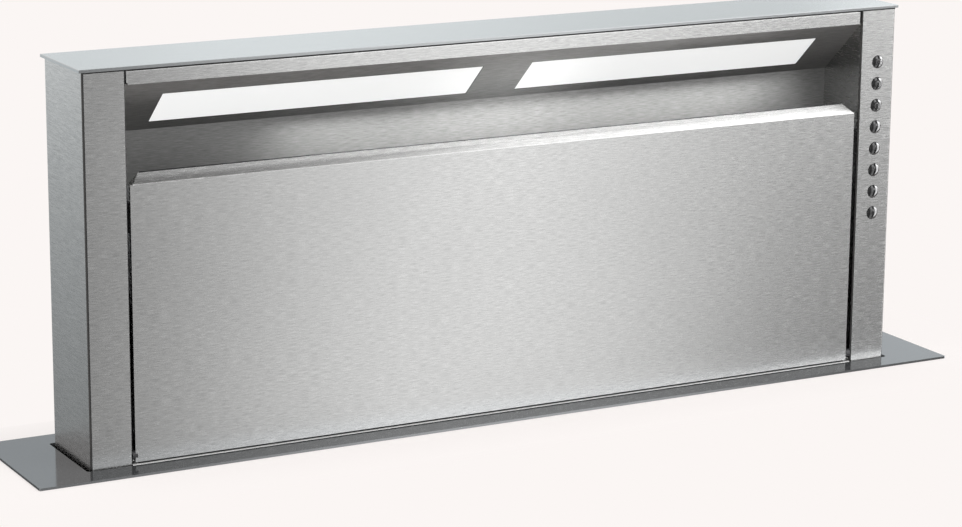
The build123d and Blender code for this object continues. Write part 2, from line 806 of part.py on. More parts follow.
with BuildPart() as mounting_brackets:
    with BuildSketch(Plane.XZ):
        with BuildLine():
            FilletPolyline(
                (case_outer_x, -worktop_thickness - bracket_drop),
                (case_outer_x, -worktop_thickness),
                (case_outer_x + bracket_leg, -worktop_thickness),
                radius=bend + bracket_sheet,
            )
            offset(amount=bracket_sheet, side=Side.RIGHT)
        make_face()
    extrude(amount=bracket_width / 2, both=True)
    with BuildSketch(Plane.XY.offset(-worktop_thickness)):
        with Locations((case_outer_x + bracket_hole_out, 0)):
            with GridLocations(1, bracket_hole_spacing, 1, 2):
                Circle(bracket_hole_radius)
    extrude(amount=-bracket_sheet, mode=Mode.SUBTRACT)
    mirror(about=Plane.YZ)
mounting_brackets.part.label = "mounting_brackets"
export_step(mounting_brackets.part, "parts/mounting_brackets.step")

# ---------------------------------------------------------------- control box
box_face = front_face - box_depth
box_mid_y = front_face - box_depth / 2
box_mid_z = -box_down - box_height / 2
box_foot = -box_down - box_height
with BuildPart() as control_box:
    with BuildSketch(Plane.XZ.offset(-front_face)):
        with Locations((box_x, box_mid_z)):
            Rectangle(box_width, box_height)
    extrude(amount=box_depth)
    offset(amount=-box_wall, openings=control_box.faces().sort_by(Axis.Y)[0], kind=Kind.INTERSECTION)
    with BuildSketch(Plane.XY.offset(box_foot)):
        with Locations((box_x, box_mid_y)):
            Circle(gland_radius + gland_fit)
    extrude(amount=box_wall, mode=Mode.SUBTRACT)
control_box.part.label = "control_box"
export_step(control_box.part, "parts/control_box.step")

cover_growth = 2 * (cover_fit + box_wall)
with BuildPart() as control_cover:
    with BuildSketch(Plane.XZ.offset(-box_face - cover_lip)):
        with Locations((box_x, box_mid_z)):
            Rectangle(box_width + cover_growth, box_height + cover_growth)
    extrude(amount=cover_lip + cover_fit + box_wall)
    offset(amount=-box_wall, openings=control_cover.faces().sort_by(Axis.Y)[-1], kind=Kind.INTERSECTION)
control_cover.part.label = "control_cover"
export_step(control_cover.part, "parts/control_cover.step")

with BuildPart() as inlet_gland:
    with BuildSketch(Plane.XY.offset(box_foot + gland_in)):
        with Locations((box_x, box_mid_y)):
            Circle(gland_radius)
    extrude(amount=-gland_in - gland_length)
    with BuildSketch(Plane.XY.offset(box_foot)):
        with Locations((box_x, box_mid_y)):
            RegularPolygon(gland_nut_radius, 6)
    extrude(amount=-gland_nut_height)
    with BuildSketch(Plane.XY.offset(box_foot + gland_in)):
        with Locations((box_x, box_mid_y)):
            Circle(gland_bore_radius)
    extrude(amount=-gland_in - gland_length, mode=Mode.SUBTRACT)
inlet_gland.part.label = "inlet_gland"
export_step(inlet_gland.part, "parts/inlet_gland.step")

# ---------------------------------------------------------------- screw lift
# Two screws stand in the ends of the case and reach up inside the hollow posts. The motor turns the right one
# through its gearbox, and a belt takes the turning across to the left one.
for name, side in (("left", -1), ("right", 1)):
    with BuildPart() as lead_screw:
        with BuildSketch(Plane.XY.offset(shoulder_z)):
            with Locations((side * screw_x, screw_y)):
                Circle(screw_radius)
        extrude(amount=screw_top - shoulder_z)
        with BuildSketch(Plane.XY.offset(shoulder_z)):
            with Locations((side * screw_x, screw_y)):
                Circle(journal_radius)
        extrude(amount=-foot_height)
    lead_screw.part.label = f"lead_screw_{name}"
    export_step(lead_screw.part, f"parts/lead_screw_{name}.step")

    with BuildPart() as pulley:
        with BuildSketch(Plane.XY.offset(pulley_z)):
            with Locations((side * screw_x, screw_y)):
                Circle(pulley_radius)
        extrude(amount=pulley_height)
        for z in (pulley_z, pulley_z + pulley_height - pulley_flange):
            with BuildSketch(Plane.XY.offset(z)):
                with Locations((side * screw_x, screw_y)):
                    Circle(pulley_flange_radius)
            extrude(amount=pulley_flange)
        with BuildSketch(Plane.XY.offset(pulley_z)):
            with Locations((side * screw_x, screw_y)):
                Circle(screw_radius + pulley_fit)
        extrude(amount=pulley_height, mode=Mode.SUBTRACT)
    pulley.part.label = f"belt_pulley_{name}"
    export_step(pulley.part, f"parts/belt_pulley_{name}.step")

belt_inner = pulley_radius + belt_fit
with BuildPart() as drive_belt:
    with BuildSketch(Plane.XY.offset(pulley_z + pulley_flange + belt_fit)):
        with Locations((0, screw_y)):
            SlotCenterToCenter(2 * screw_x, 2 * (belt_inner + belt_thickness))
            SlotCenterToCenter(2 * screw_x, 2 * belt_inner, mode=Mode.SUBTRACT)
    extrude(amount=pulley_height - 2 * (pulley_flange + belt_fit))
drive_belt.part.label = "drive_belt"
export_step(drive_belt.part, "parts/drive_belt.step")

with BuildPart() as screw_bearings:
    with BuildSketch(Plane.XY.offset(duct_floor_top)):
        with Locations((-screw_x, screw_y), (screw_x, screw_y)):
            Circle(bush_flange_radius)
    extrude(amount=bush_flange)
    with BuildSketch(Plane.XY.offset(duct_floor_top)):
        with Locations((-screw_x, screw_y), (screw_x, screw_y)):
            Circle(bush_radius)
    extrude(amount=-case_sheet - bush_below)
    with BuildSketch(Plane.XY.offset(duct_floor_top + bush_flange)):
        with Locations((-screw_x, screw_y), (screw_x, screw_y)):
            Circle(screw_radius + bush_clearance)
    extrude(amount=-bush_flange - case_sheet - bush_below, mode=Mode.SUBTRACT)
    with BuildSketch(Plane.XY.offset(floor_top)):
        with Locations((-screw_x, screw_y)):
            Circle(foot_radius)
            Circle(journal_radius + journal_clearance, mode=Mode.SUBTRACT)
    extrude(amount=foot_height)
screw_bearings.part.label = "screw_bearings"
export_step(screw_bearings.part, "parts/screw_bearings.step")

motor_y = screw_y - motor_offset
motor_z = floor_top + motor_radius + motor_lift
gearbox_side = screw_x - gearbox_width / 2
with BuildPart() as lift_gearbox:
    with BuildSketch(Plane.XY.offset(floor_top)):
        with Locations((screw_x, 0)):
            RectangleRounded(gearbox_width, gearbox_depth, gearbox_edge)
        with Locations((screw_x, screw_y)):
            Circle(journal_radius + journal_clearance, mode=Mode.SUBTRACT)
    extrude(amount=foot_height)
lift_gearbox.part.label = "lift_gearbox"
export_step(lift_gearbox.part, "parts/lift_gearbox.step")

with BuildPart() as lift_motor:
    with BuildSketch(Plane.YZ.offset(gearbox_side)):
        with Locations((motor_y, motor_z)):
            Circle(motor_radius)
    extrude(amount=-motor_length)
    with BuildSketch(Plane.YZ.offset(gearbox_side - motor_length)):
        with Locations((motor_y, motor_z)):
            Circle(motor_cap_radius)
    extrude(amount=-motor_cap)
lift_motor.part.label = "lift_motor"
export_step(lift_motor.part, "parts/lift_motor.step")

with BuildPart() as limit_switches:
    with BuildSketch(Plane.XZ.offset(-case_back)):
        with Locations((limit_switch_x, foot), (limit_switch_x, lowered_foot)):
            Rectangle(limit_width, limit_height)
    extrude(amount=limit_depth)
limit_switches.part.label = "limit_switches"
export_step(limit_switches.part, "parts/limit_switches.step")
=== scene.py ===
import json
import math

import bmesh
import bpy
from mathutils import Matrix, Vector

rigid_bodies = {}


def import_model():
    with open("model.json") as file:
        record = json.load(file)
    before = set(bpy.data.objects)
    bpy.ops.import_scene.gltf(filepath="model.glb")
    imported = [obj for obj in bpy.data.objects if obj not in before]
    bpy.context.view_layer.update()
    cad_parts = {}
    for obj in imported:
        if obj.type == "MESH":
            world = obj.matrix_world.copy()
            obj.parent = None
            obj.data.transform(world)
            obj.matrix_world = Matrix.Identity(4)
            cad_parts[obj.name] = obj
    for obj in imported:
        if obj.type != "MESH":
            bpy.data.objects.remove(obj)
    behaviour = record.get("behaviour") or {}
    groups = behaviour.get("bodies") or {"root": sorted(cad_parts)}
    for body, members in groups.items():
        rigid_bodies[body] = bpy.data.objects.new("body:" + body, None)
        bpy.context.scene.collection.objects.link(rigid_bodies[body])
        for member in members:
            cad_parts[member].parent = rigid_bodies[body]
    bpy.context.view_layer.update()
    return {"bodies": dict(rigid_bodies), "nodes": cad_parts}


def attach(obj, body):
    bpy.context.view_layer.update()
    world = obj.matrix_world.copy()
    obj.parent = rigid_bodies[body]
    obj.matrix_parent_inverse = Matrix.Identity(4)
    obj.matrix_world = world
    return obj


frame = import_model()
nodes = frame["nodes"]
scene = bpy.context.scene
scene.view_settings.view_transform = "Standard"
millimetre = 0.001
print("frame loaded,", len(nodes), "nodes")


# camera
shot = {
    "place": (-1.4932, -2.7454, 0.9018),
    "turn": 28.326,  # degrees from straight ahead to the right
    "down": 13.515,
    "roll": 0.395,
    "lens": 113.5,
    "sensor": 36,
    "clip": (0.05, 100),
}


def makeCamera():
    turn, down, roll = (math.radians(shot[key]) for key in ("turn", "down", "roll"))
    ahead = Vector((math.sin(turn) * math.cos(down), math.cos(turn) * math.cos(down), -math.sin(down)))
    across = Vector((math.cos(turn), -math.sin(turn), 0))
    upward = across.cross(ahead)
    right = across * math.cos(roll) + upward * math.sin(roll)
    top = upward * math.cos(roll) - across * math.sin(roll)
    data = bpy.data.cameras.new("shotCamera")
    data.lens, data.sensor_width = shot["lens"], shot["sensor"]
    data.clip_start, data.clip_end = shot["clip"]
    eye = bpy.data.objects.new("shotCamera", data)
    eye.matrix_world = Matrix.Translation(shot["place"]) @ Matrix((right, top, -ahead)).transposed().to_4x4()
    scene.collection.objects.link(eye)
    scene.camera = eye


makeCamera()
print("camera set")


# studio
studio = {
    "paper": (0.965, 0.922, 0.905, 1),  # background, warm white
    "fill": 0.75,  # world's strength on diffuse surfaces
    "slabLow": (-0.62, -0.70, -0.040),
    "slabHigh": (0.66, 0.14, -0.0003),
    "cutLow": (-0.4905, -0.061),
    "cutHigh": (0.4905, 0.065),
    "floorHeight": -0.7505,
    "floorReach": 4.0,
    # upright sides of the worktop
    "board": {"tone": (0.60, 0.585, 0.57), "rough": 0.6, "fleck": 140, "fleckShade": 0.9},
    "shadow": 0.35,  # share of the floor's shading that the camera sees next to the object
    "slabShade": {"half": (0.540, 0.084), "centre": (0, 0.0025), "reach": 0.09},
    "groundShade": {"half": (0.49, 0.06), "centre": (0, 0), "reach": 1.1},
}


def feed(node, inputs):
    # inputs: for each socket, by name or number, a value or the output that is linked to it
    for key, value in inputs.items():
        if hasattr(value, "links"):
            node.id_data.links.new(value, node.inputs[key])
        else:
            node.inputs[key].default_value = value


def addNode(tree, kind, inputs=None, **settings):
    node = tree.nodes.new(kind)
    for name, value in settings.items():
        setattr(node, name, value)
    feed(node, inputs or {})
    return node


def mathNode(tree, operation, first, second=None, **settings):
    inputs = {0: first} if second is None else {0: first, 1: second}
    return addNode(tree, "ShaderNodeMath", inputs, operation=operation, **settings).outputs[0]


def distanceNode(tree, first, second):
    squares = [mathNode(tree, "POWER", side, 2.0) for side in (first, second)]
    return mathNode(tree, "SQRT", mathNode(tree, "ADD", *squares))


def ranged(tree, source, fromLow, fromHigh, toLow, toHigh, kind="LINEAR"):
    inputs = {"Value": source, "From Min": fromLow, "From Max": fromHigh, "To Min": toLow, "To Max": toHigh}
    return addNode(tree, "ShaderNodeMapRange", inputs, interpolation_type=kind).outputs["Result"]


def mixColours(tree, factor, first, second):
    return addNode(tree, "ShaderNodeMix", {0: factor, 6: first, 7: second}, data_type="RGBA").outputs[2]


def shade(tone, share=1.0):
    # the tone times the share, as an opaque colour
    return (*(min(1, channel * share) for channel in tone), 1)


def noiseNode(tree, place, scale, detail=2, roughness=0.5):
    inputs = {"Vector": place, "Scale": scale, "Detail": detail, "Roughness": roughness}
    return addNode(tree, "ShaderNodeTexNoise", inputs).outputs


def objectPlace(tree):
    return addNode(tree, "ShaderNodeTexCoord").outputs["Object"]


def splitAxes(tree, source):
    return addNode(tree, "ShaderNodeSeparateXYZ", {0: source}).outputs


def addBump(tree, shader, height, strength, depth):
    bump = addNode(tree, "ShaderNodeBump", {"Height": height, "Strength": strength, "Distance": depth})
    feed(shader, {"Normal": bump.outputs[0]})


def startMaterial(name, roughness, metallic):
    mat = bpy.data.materials.new(name)
    mat.use_nodes = True
    shader = mat.node_tree.nodes["Principled BSDF"]
    feed(shader, {"Roughness": roughness, "Metallic": metallic})
    return mat, mat.node_tree, shader


def emptyMaterial(name):
    mat = bpy.data.materials.new(name)
    mat.use_nodes = True
    mat.node_tree.nodes.clear()
    return mat, mat.node_tree


def placePiece(name, mesh):
    piece = bpy.data.objects.new(name, mesh)
    scene.collection.objects.link(piece)
    return piece


def meshPiece(name, verts, faces):
    mesh = bpy.data.meshes.new(name)
    mesh.from_pydata([tuple(v) for v in verts], [], faces)
    mesh.update()
    return placePiece(name, mesh)


def addShape(shape, verts, faces):
    points = [shape.verts.new(v) for v in verts]
    for face in faces:
        shape.faces.new([points[i] for i in face])


def closePiece(name, shape):
    # turns every face outward
    bmesh.ops.recalc_face_normals(shape, faces=shape.faces)
    mesh = bpy.data.meshes.new(name)
    shape.to_mesh(mesh)
    shape.free()
    return placePiece(name, mesh)


def solidPiece(name, *parts):
    # one piece of closed parts, each given as its corners and faces
    shape = bmesh.new()
    for verts, faces in parts:
        addShape(shape, verts, faces)
    return closePiece(name, shape)


def makeWorld():
    world = bpy.data.worlds.new("studioWorld")
    scene.world = world
    world.use_nodes = True
    tree = world.node_tree
    tree.nodes.clear()
    rays = addNode(tree, "ShaderNodeLightPath").outputs
    seen = mathNode(tree, "MAXIMUM", rays["Is Camera Ray"], rays["Is Glossy Ray"])
    seen = mathNode(tree, "MAXIMUM", seen, rays["Is Transmission Ray"])
    fill = addNode(tree, "ShaderNodeBackground", {"Color": (1, 1, 1, 1), "Strength": studio["fill"]})
    paper = addNode(tree, "ShaderNodeBackground", {"Color": studio["paper"], "Strength": 1})
    choose = addNode(tree, "ShaderNodeMixShader", {0: seen, 1: fill.outputs[0], 2: paper.outputs[0]})
    addNode(tree, "ShaderNodeOutputWorld", {"Surface": choose.outputs[0]})


def floorMaterial(name, plan):
    # the shading fades to plain paper away from the object
    mat, tree = emptyMaterial(name)
    axes = splitAxes(tree, objectPlace(tree))
    outside = []
    for axis, half, centre in zip("XY", plan["half"], plan["centre"]):
        away = mathNode(tree, "ABSOLUTE", mathNode(tree, "SUBTRACT", axes[axis], centre))
        outside.append(mathNode(tree, "MAXIMUM", mathNode(tree, "SUBTRACT", away, half), 0.0))
    distance = distanceNode(tree, *outside)
    near = ranged(tree, distance, 0, plan["reach"], 1 - studio["shadow"], 1, "SMOOTHSTEP")
    rays = addNode(tree, "ShaderNodeLightPath").outputs
    bare = mathNode(tree, "MULTIPLY", rays["Is Camera Ray"], near)
    paint = addNode(tree, "ShaderNodeBsdfDiffuse", {"Color": studio["paper"]})
    plain = addNode(tree, "ShaderNodeEmission", {"Color": studio["paper"]})
    blend = addNode(tree, "ShaderNodeMixShader", {0: bare, 1: paint.outputs[0], 2: plain.outputs[0]})
    addNode(tree, "ShaderNodeOutputMaterial", {"Surface": blend.outputs[0]})
    return mat


def boardMaterial():
    plan = studio["board"]
    mat, tree, shader = startMaterial("worktopSide", plan["rough"], 0.0)
    fleck = noiseNode(tree, objectPlace(tree), plan["fleck"])["Fac"]
    darker = shade(plan["tone"], plan["fleckShade"])
    feed(shader, {"Base Color": mixColours(tree, fleck, shade(plan["tone"]), darker)})
    return mat


def makeFloor():
    low, high = studio["slabLow"], studio["slabHigh"]
    cutLow, cutHigh = studio["cutLow"], studio["cutHigh"]
    verts, faces = [], []
    for z in (low[2], high[2]):
        for a, b in ((low, high), (cutLow, cutHigh)):
            verts += [(a[0], a[1], z), (b[0], a[1], z), (b[0], b[1], z), (a[0], b[1], z)]
    for i in range(4):
        j = (i + 1) % 4
        faces.append((8 + i, 8 + j, 12 + j, 12 + i))  # upper face
        faces.append((j, i, 4 + i, 4 + j))
        faces.append((i, j, 8 + j, 8 + i))
        faces.append((4 + j, 4 + i, 12 + i, 12 + j))
    slab = meshPiece("worktopSlab", verts, faces)
    reach, level = studio["floorReach"], studio["floorHeight"]
    ground = meshPiece(
        "ground",
        [(-reach, -reach, level), (reach, -reach, level), (reach, reach, level), (-reach, reach, level)],
        [(0, 1, 2, 3)],
    )
    for piece, key in ((slab, "slabShade"), (ground, "groundShade")):
        piece.data.materials.append(floorMaterial(piece.name + "Paper", studio[key]))
        piece.visible_glossy = False
    slab.data.materials.append(boardMaterial())
    for polygon in slab.data.polygons:
        polygon.material_index = int(abs(polygon.normal.z) < 0.5)


# cards that only the metal mirrors: their plane, then their glow at places in metres along each side
cards = {
    "frontCard": {
        "axes": "XZ", "at": -3.6, "tint": (1, 1, 1, 1),
        "wide": ((-6.0, 0.52), (-4.0, 0.60), (-2.7, 0.50), (-1.5, 0.25), (-0.8, 0.50), (-0.1, 0.40), (0.50, 0.20),
                 (0.966, 0.35), (1.389, 0.82), (1.965, 1.17), (2.54, 0.72), (2.963, 0.09), (3.45, 0.05), (4.5, 0.20),
                 (5.3, 5.6), (14.0, 5.6)),
        "tall": ((-4.2, 1.2), (-1.12, 1.01), (-0.72, 0.85), (-0.49, 1.10), (-0.28, 1.27), (0.9, 1.27), (1.5, 1.95),
                 (2.8, 1.95)),
        "spot": {"place": (3.25, 0.56), "radius": 1.00, "gain": 4.0},
    },
    "ceilingCard": {
        "axes": "XY", "at": 2.9, "tint": (1, 1, 1, 1),
        "wide": ((-3.0, 0.60), (-0.4, 0.50), (0.25, 0.14), (0.6, 0.10), (1.0, 0.74), (1.4, 1.60), (1.8, 2.05),
                 (2.3, 2.15), (3.0, 2.7), (5.0, 0.5)),
        "tall": ((-3.5, 1.0), (2.5, 1.0)),
    },
    "sideCard": {
        "axes": "XZ", "at": 3.2, "tint": (0.95, 1.0, 1.02, 1),
        "wide": ((-3.4, 1.0), (-0.5, 1.0), (1.5, 0.8), (3.0, 1.3), (5.6, 0.7)),
        "tall": ((-4.0, 0.15), (-1.2, 0.20), (-0.9, 0.34), (-0.55, 0.40), (-0.38, 0.46), (-0.2, 0.72), (0.15, 1.3)),
    },
    "backLow": {
        "axes": "XZ", "at": 1.2, "tint": (0.95, 1.0, 1.03, 1),
        "wide": ((-0.4, 1.30), (0.0, 1.35), (1.2, 1.75), (1.45, 1.85), (4.0, 1.9)),
        "tall": ((0.02, 1.0), (0.50, 1.0)),
    },
    "backHigh": {
        "axes": "XZ", "at": 1.2, "tint": (0.96, 1.0, 1.01, 1),
        "wide": ((-0.4, 0.90), (-0.03, 0.90), (0.25, 1.00), (0.6, 0.93), (0.9, 0.82), (1.15, 0.80), (1.4, 1.10),
                 (4.0, 0.9)),
        "tall": ((0.50, 1.0), (3.0, 1.0)),
    },
}
brightest = 5.6  # the highest glow above, which the curves are scaled by


def cardMaterial(name, plan):
    mat, tree = emptyMaterial(name)
    axes = splitAxes(tree, objectPlace(tree))
    factors = []
    for axis, key in zip(plan["axes"], ("wide", "tall")):
        stops = plan[key]
        start, end = stops[0][0], stops[-1][0]
        curve = addNode(tree, "ShaderNodeFloatCurve", {"Value": ranged(tree, axes[axis], start, end, 0, 1)})
        points = curve.mapping.curves[0].points
        while len(points) < len(stops):
            points.new(0.5, 0.5)
        for point, (where, glow) in zip(points, stops):
            point.location = ((where - start) / (end - start), glow / brightest)
            point.handle_type = "AUTO_CLAMPED"
        curve.mapping.update()
        factors.append(mathNode(tree, "MULTIPLY", curve.outputs[0], brightest))
    strength = mathNode(tree, "MULTIPLY", *factors)
    if "spot" in plan:
        spot = plan["spot"]
        away = [mathNode(tree, "SUBTRACT", axes[axis], middle) for axis, middle in zip(plan["axes"], spot["place"])]
        soft = ranged(tree, distanceNode(tree, *away), 0, spot["radius"], spot["gain"], 0, "SMOOTHSTEP")
        strength = mathNode(tree, "ADD", strength, soft)
    light = addNode(tree, "ShaderNodeEmission", {"Color": plan["tint"], "Strength": strength})
    addNode(tree, "ShaderNodeOutputMaterial", {"Surface": light.outputs[0]})
    return mat


def makeCards():
    for name, plan in cards.items():
        (left, right), (low, high) = ((plan[key][0][0], plan[key][-1][0]) for key in ("wide", "tall"))
        corners = ((left, low), (right, low), (right, high), (left, high))
        if plan["axes"] == "XZ":
            verts = [(a, plan["at"], b) for a, b in corners]
        else:
            verts = [(a, b, plan["at"]) for a, b in corners]
        card = meshPiece(name, verts, [(0, 1, 2, 3)])
        card.data.materials.append(cardMaterial(name + "Glow", plan))
        card.visible_camera = False
        card.visible_shadow = False
        card.visible_diffuse = False


lamps = {
    "keyLamp": {"place": (1.6, -2.4, 3.0), "aim": (0, 0, 0.1), "size": (2.4, 2.4), "power": 60},
    "sideLamp": {"place": (-3.2, -1.2, 1.6), "aim": (0, 0, -0.1), "size": (2.2, 2.2), "power": 30},
}
# the recess's slope: its front edge, its direction down the slope, and the covers' places on it
slope = {
    "front": (-0.0485, 0.3844),
    "run": (0.7481, -0.6637),
    "coverMiddle": 0.0488,
    "coverHalf": 0.02625,
    "coverNear": 0.0285,  # from the tower's middle plane
    "coverFar": 0.3845,
}
# the glow of the covers, and the light that comes back up from the filters; "off" is the way out from the slope
recessLamps = {
    "recessLamp": {"size": (0.60, 0.030), "power": 6.00, "off": 0.003, "middle": 0.06, "towards": 1.0},
    "recessReturn": {"size": (0.12, 0.030), "power": 0.13, "off": 0.060, "middle": 0.02, "towards": -1.0},
}


def onSlope(x, down, proud=0.0):
    (y, z), (runY, runZ) = slope["front"], slope["run"]
    return Vector((x, y + down * runY + proud * runZ, z + down * runZ - proud * runY))


def makeLamp(name, plan):
    data = bpy.data.lights.new(name, "AREA")
    data.shape, data.energy = "RECTANGLE", plan["power"]
    data.size, data.size_y = plan["size"]
    lamp = bpy.data.objects.new(name, data)
    lamp.location = plan["place"]
    lamp.rotation_euler = (Vector(plan["aim"]) - Vector(plan["place"])).to_track_quat("-Z", "Y").to_euler()
    lamp.visible_camera = False
    lamp.visible_glossy = False
    scene.collection.objects.link(lamp)
    return lamp


def makeLamps():
    for name, plan in lamps.items():
        makeLamp(name, plan)
    for name, plan in recessLamps.items():
        place = onSlope(plan["middle"], slope["coverMiddle"], plan["off"])
        aim = onSlope(plan["middle"], slope["coverMiddle"], plan["towards"])
        makeLamp(name, {**plan, "place": place, "aim": aim}).parent = frame["bodies"]["tower"]


makeWorld()
makeFloor()
makeCards()
makeLamps()
print("studio ready")


# shared shader groups
squarely = 0.7  # least part of the normal along an axis, on faces that look along that axis
# gain that sharpens the mask which paints shade on upright folds
foldShadeGain = 5
grainNoise = {"scale": 1, "detail": 3, "roughness": 0.7}
edgeBevel = {"radius": 0.0007, "samples": 4}
flakeWarp = {"scale": 30, "shift": 0.02}


def newGroup(name, ins, outs):
    group = bpy.data.node_groups.new(name, "ShaderNodeTree")
    for label, value in ins.items():
        socket = group.interface.new_socket(name=label, in_out="INPUT", socket_type="NodeSocketFloat")
        socket.default_value = value
    for label in outs:
        group.interface.new_socket(name=label, in_out="OUTPUT", socket_type="NodeSocketFloat")
    return group, group.nodes.new("NodeGroupInput").outputs, group.nodes.new("NodeGroupOutput")


def brushGroup():
    # streaks that run level round the object: along X on faces seen from front or above, along Y on the ends
    group, given, result = newGroup(
        "brushedGrain",
        {"Along": 18.0, "Across": 900.0, "Cloud": 6.0},
        ("Streak", "Cloud", "FoldShade", "FrontShading"),
    )
    place = objectPlace(group)
    axes = splitAxes(group, place)
    facing = splitAxes(group, addNode(group, "ShaderNodeNewGeometry").outputs["True Normal"])
    endOn = mathNode(group, "GREATER_THAN", mathNode(group, "ABSOLUTE", facing["X"]), squarely)
    slow, fine = given["Along"], given["Across"]
    swap = mathNode(group, "MULTIPLY", mathNode(group, "SUBTRACT", fine, slow), endOn)
    scales = {"X": mathNode(group, "ADD", slow, swap), "Y": mathNode(group, "SUBTRACT", fine, swap), "Z": fine}
    drawn = {axis: mathNode(group, "MULTIPLY", axes[axis], scale) for axis, scale in scales.items()}
    joined = addNode(group, "ShaderNodeCombineXYZ", drawn)
    # masks for painted light: 1 on upright folds, which get a painted shade, and 1 on faces that look to the front,
    # which get a painted highlight on the frame and a painted shade on the lid
    corner = mathNode(group, "ABSOLUTE", mathNode(group, "MULTIPLY", facing["X"], facing["Y"]))
    feed(result, {
        "Streak": noiseNode(group, joined.outputs[0], **grainNoise)["Fac"],
        "Cloud": noiseNode(group, place, given["Cloud"])["Fac"],
        "FoldShade": mathNode(group, "MULTIPLY", corner, foldShadeGain, use_clamp=True),
        "FrontShading": mathNode(group, "LESS_THAN", facing["Y"], -squarely),
    })
    return group


def edgeGroup():
    # a mask that is 1 on sharp edges, where the finishes paint a highlight
    group, given, result = newGroup("edgeGlint", {"Sharpness": 3.0}, ("Mask",))
    rounded = addNode(group, "ShaderNodeBevel", {"Radius": edgeBevel["radius"]}, samples=edgeBevel["samples"])
    normals = {0: rounded.outputs[0], 1: addNode(group, "ShaderNodeNewGeometry").outputs["Normal"]}
    agree = addNode(group, "ShaderNodeVectorMath", normals, operation="DOT_PRODUCT")
    off = mathNode(group, "SUBTRACT", 1, agree.outputs["Value"])
    feed(result, {"Mask": mathNode(group, "MULTIPLY", off, given["Sharpness"], use_clamp=True)})
    return group


def flakeGroup():
    # zinc flakes: one random value for each, drawn out a little by noise
    group, given, result = newGroup("zincFlakes", {"Scale": 85.0}, ("Flake",))
    place = objectPlace(group)
    warp = {0: noiseNode(group, place, flakeWarp["scale"])["Color"], 1: (flakeWarp["shift"],) * 3, 2: place}
    shift = addNode(group, "ShaderNodeVectorMath", warp, operation="MULTIPLY_ADD")
    cells = addNode(group, "ShaderNodeTexVoronoi", {"Vector": shift.outputs[0], "Scale": given["Scale"]})
    feed(result, {"Flake": splitAxes(group, cells.outputs["Color"])["X"]})
    return group


def placeGroup(tree, group, **values):
    return addNode(tree, "ShaderNodeGroup", values, node_tree=group).outputs


brushedGrain = brushGroup()
edgeGlint = edgeGroup()
zincFlakes = flakeGroup()


# metal finishes: tone, its share that is left in the streaks, roughness, grain sizes, bump
steelFinishes = {
    # the brushed steel's upright folds get a painted shade, 0.1 of its tone
    "brushedSteel": {"tone": (0.715, 0.715, 0.709), "streak": 0.70, "rough": (0.235, 0.285), "along": 80,
                     "across": 1100, "cloud": 5, "bump": 0.02, "anisotropic": 0.75, "FoldShade": 0.10},
    # the frame's front faces get a painted highlight, 1.5 times its tone; where metal mirrors the front strip it is
    # painted lighter still, and elsewhere its reflections are held to half as painted shade
    "satinFrame": {"tone": (0.200, 0.206, 0.212), "streak": 0.94, "rough": (0.06, 0.14), "along": 20, "across": 700,
                   "cloud": 7, "bump": 0.02, "metallic": 0.72, "reflectionShade": 0.50, "paintedMirrorLight": 3.4,
                   "ahead": -0.0515, "FrontShading": 1.5},
    # the lid's front faces get a painted shade, 0.8 of its tone
    "satinLid": {"tone": (0.545, 0.563, 0.572), "streak": 0.95, "rough": (0.16, 0.26), "along": 18, "across": 900,
                 "cloud": 6, "bump": 0.03, "FrontShading": 0.80},
    # steel inside the recess, its tone darker than the outer steel as painted shade
    "recessShadedSteel": {"tone": (0.32, 0.32, 0.315), "streak": 0.52, "rough": (0.34, 0.46), "along": 70, "across": 1500,
                    "cloud": 5, "bump": 0.12, "anisotropic": 0.88, "metallic": 0.65},
    # steel on the sill, lighter and less metallic than the panel's, as a painted highlight line under the panel
    "sillHighlightSteel": {"tone": (0.68, 0.68, 0.675), "streak": 0.92, "rough": (0.40, 0.52), "along": 60, "across": 1500,
                  "cloud": 5, "bump": 0.05, "metallic": 0.35},
    "zincSheet": {"tone": (0.56, 0.575, 0.585), "streak": 0.90, "rough": (0.34, 0.46), "along": 400, "across": 400,
                  "cloud": 4, "bump": 0.02, "flakes": 85, "flakeShade": 0.70},
    "filterAluminium": {"tone": (0.70, 0.71, 0.72), "streak": 0.92, "rough": (0.26, 0.40), "along": 900, "across": 90,
                        "cloud": 8, "bump": 0.04},
    "groundSteel": {"tone": (0.48, 0.48, 0.49), "streak": 0.90, "rough": (0.14, 0.24), "along": 900, "across": 900,
                    "cloud": 20, "bump": 0.02},
    "turnedBronze": {"tone": (0.60, 0.41, 0.19), "streak": 0.90, "rough": (0.20, 0.32), "along": 700, "across": 1500,
                     "cloud": 20, "bump": 0.03},
    "castMetal": {"tone": (0.42, 0.43, 0.44), "streak": 0.85, "rough": (0.45, 0.62), "along": 900, "across": 900,
                  "cloud": 30, "bump": 0.30},
    "polishedDome": {"tone": (0.105, 0.105, 0.106), "streak": 0.94, "rough": (0.05, 0.09), "along": 300, "across": 900,
                     "cloud": 40, "bump": 0.01},
    # a light steel that colours the painted highlight along the panel's fold
    "foldGlint": {"tone": (0.92, 0.92, 0.91), "streak": 0.96, "rough": (0.30, 0.40), "along": 60, "across": 1500,
                  "cloud": 5, "bump": 0.02},
}
# shared by these finishes: spans of the noise, share of the clouds, painted highlight on edges, depth and turn of the
# grain
steelLook = {"streaks": (0.34, 0.66), "clouds": (0.3, 0.7), "cloudShare": 0.35, "edgeHighlight": 1.12, "sharpness": 2.5,
             "depth": 0.0002, "turn": 0.25}


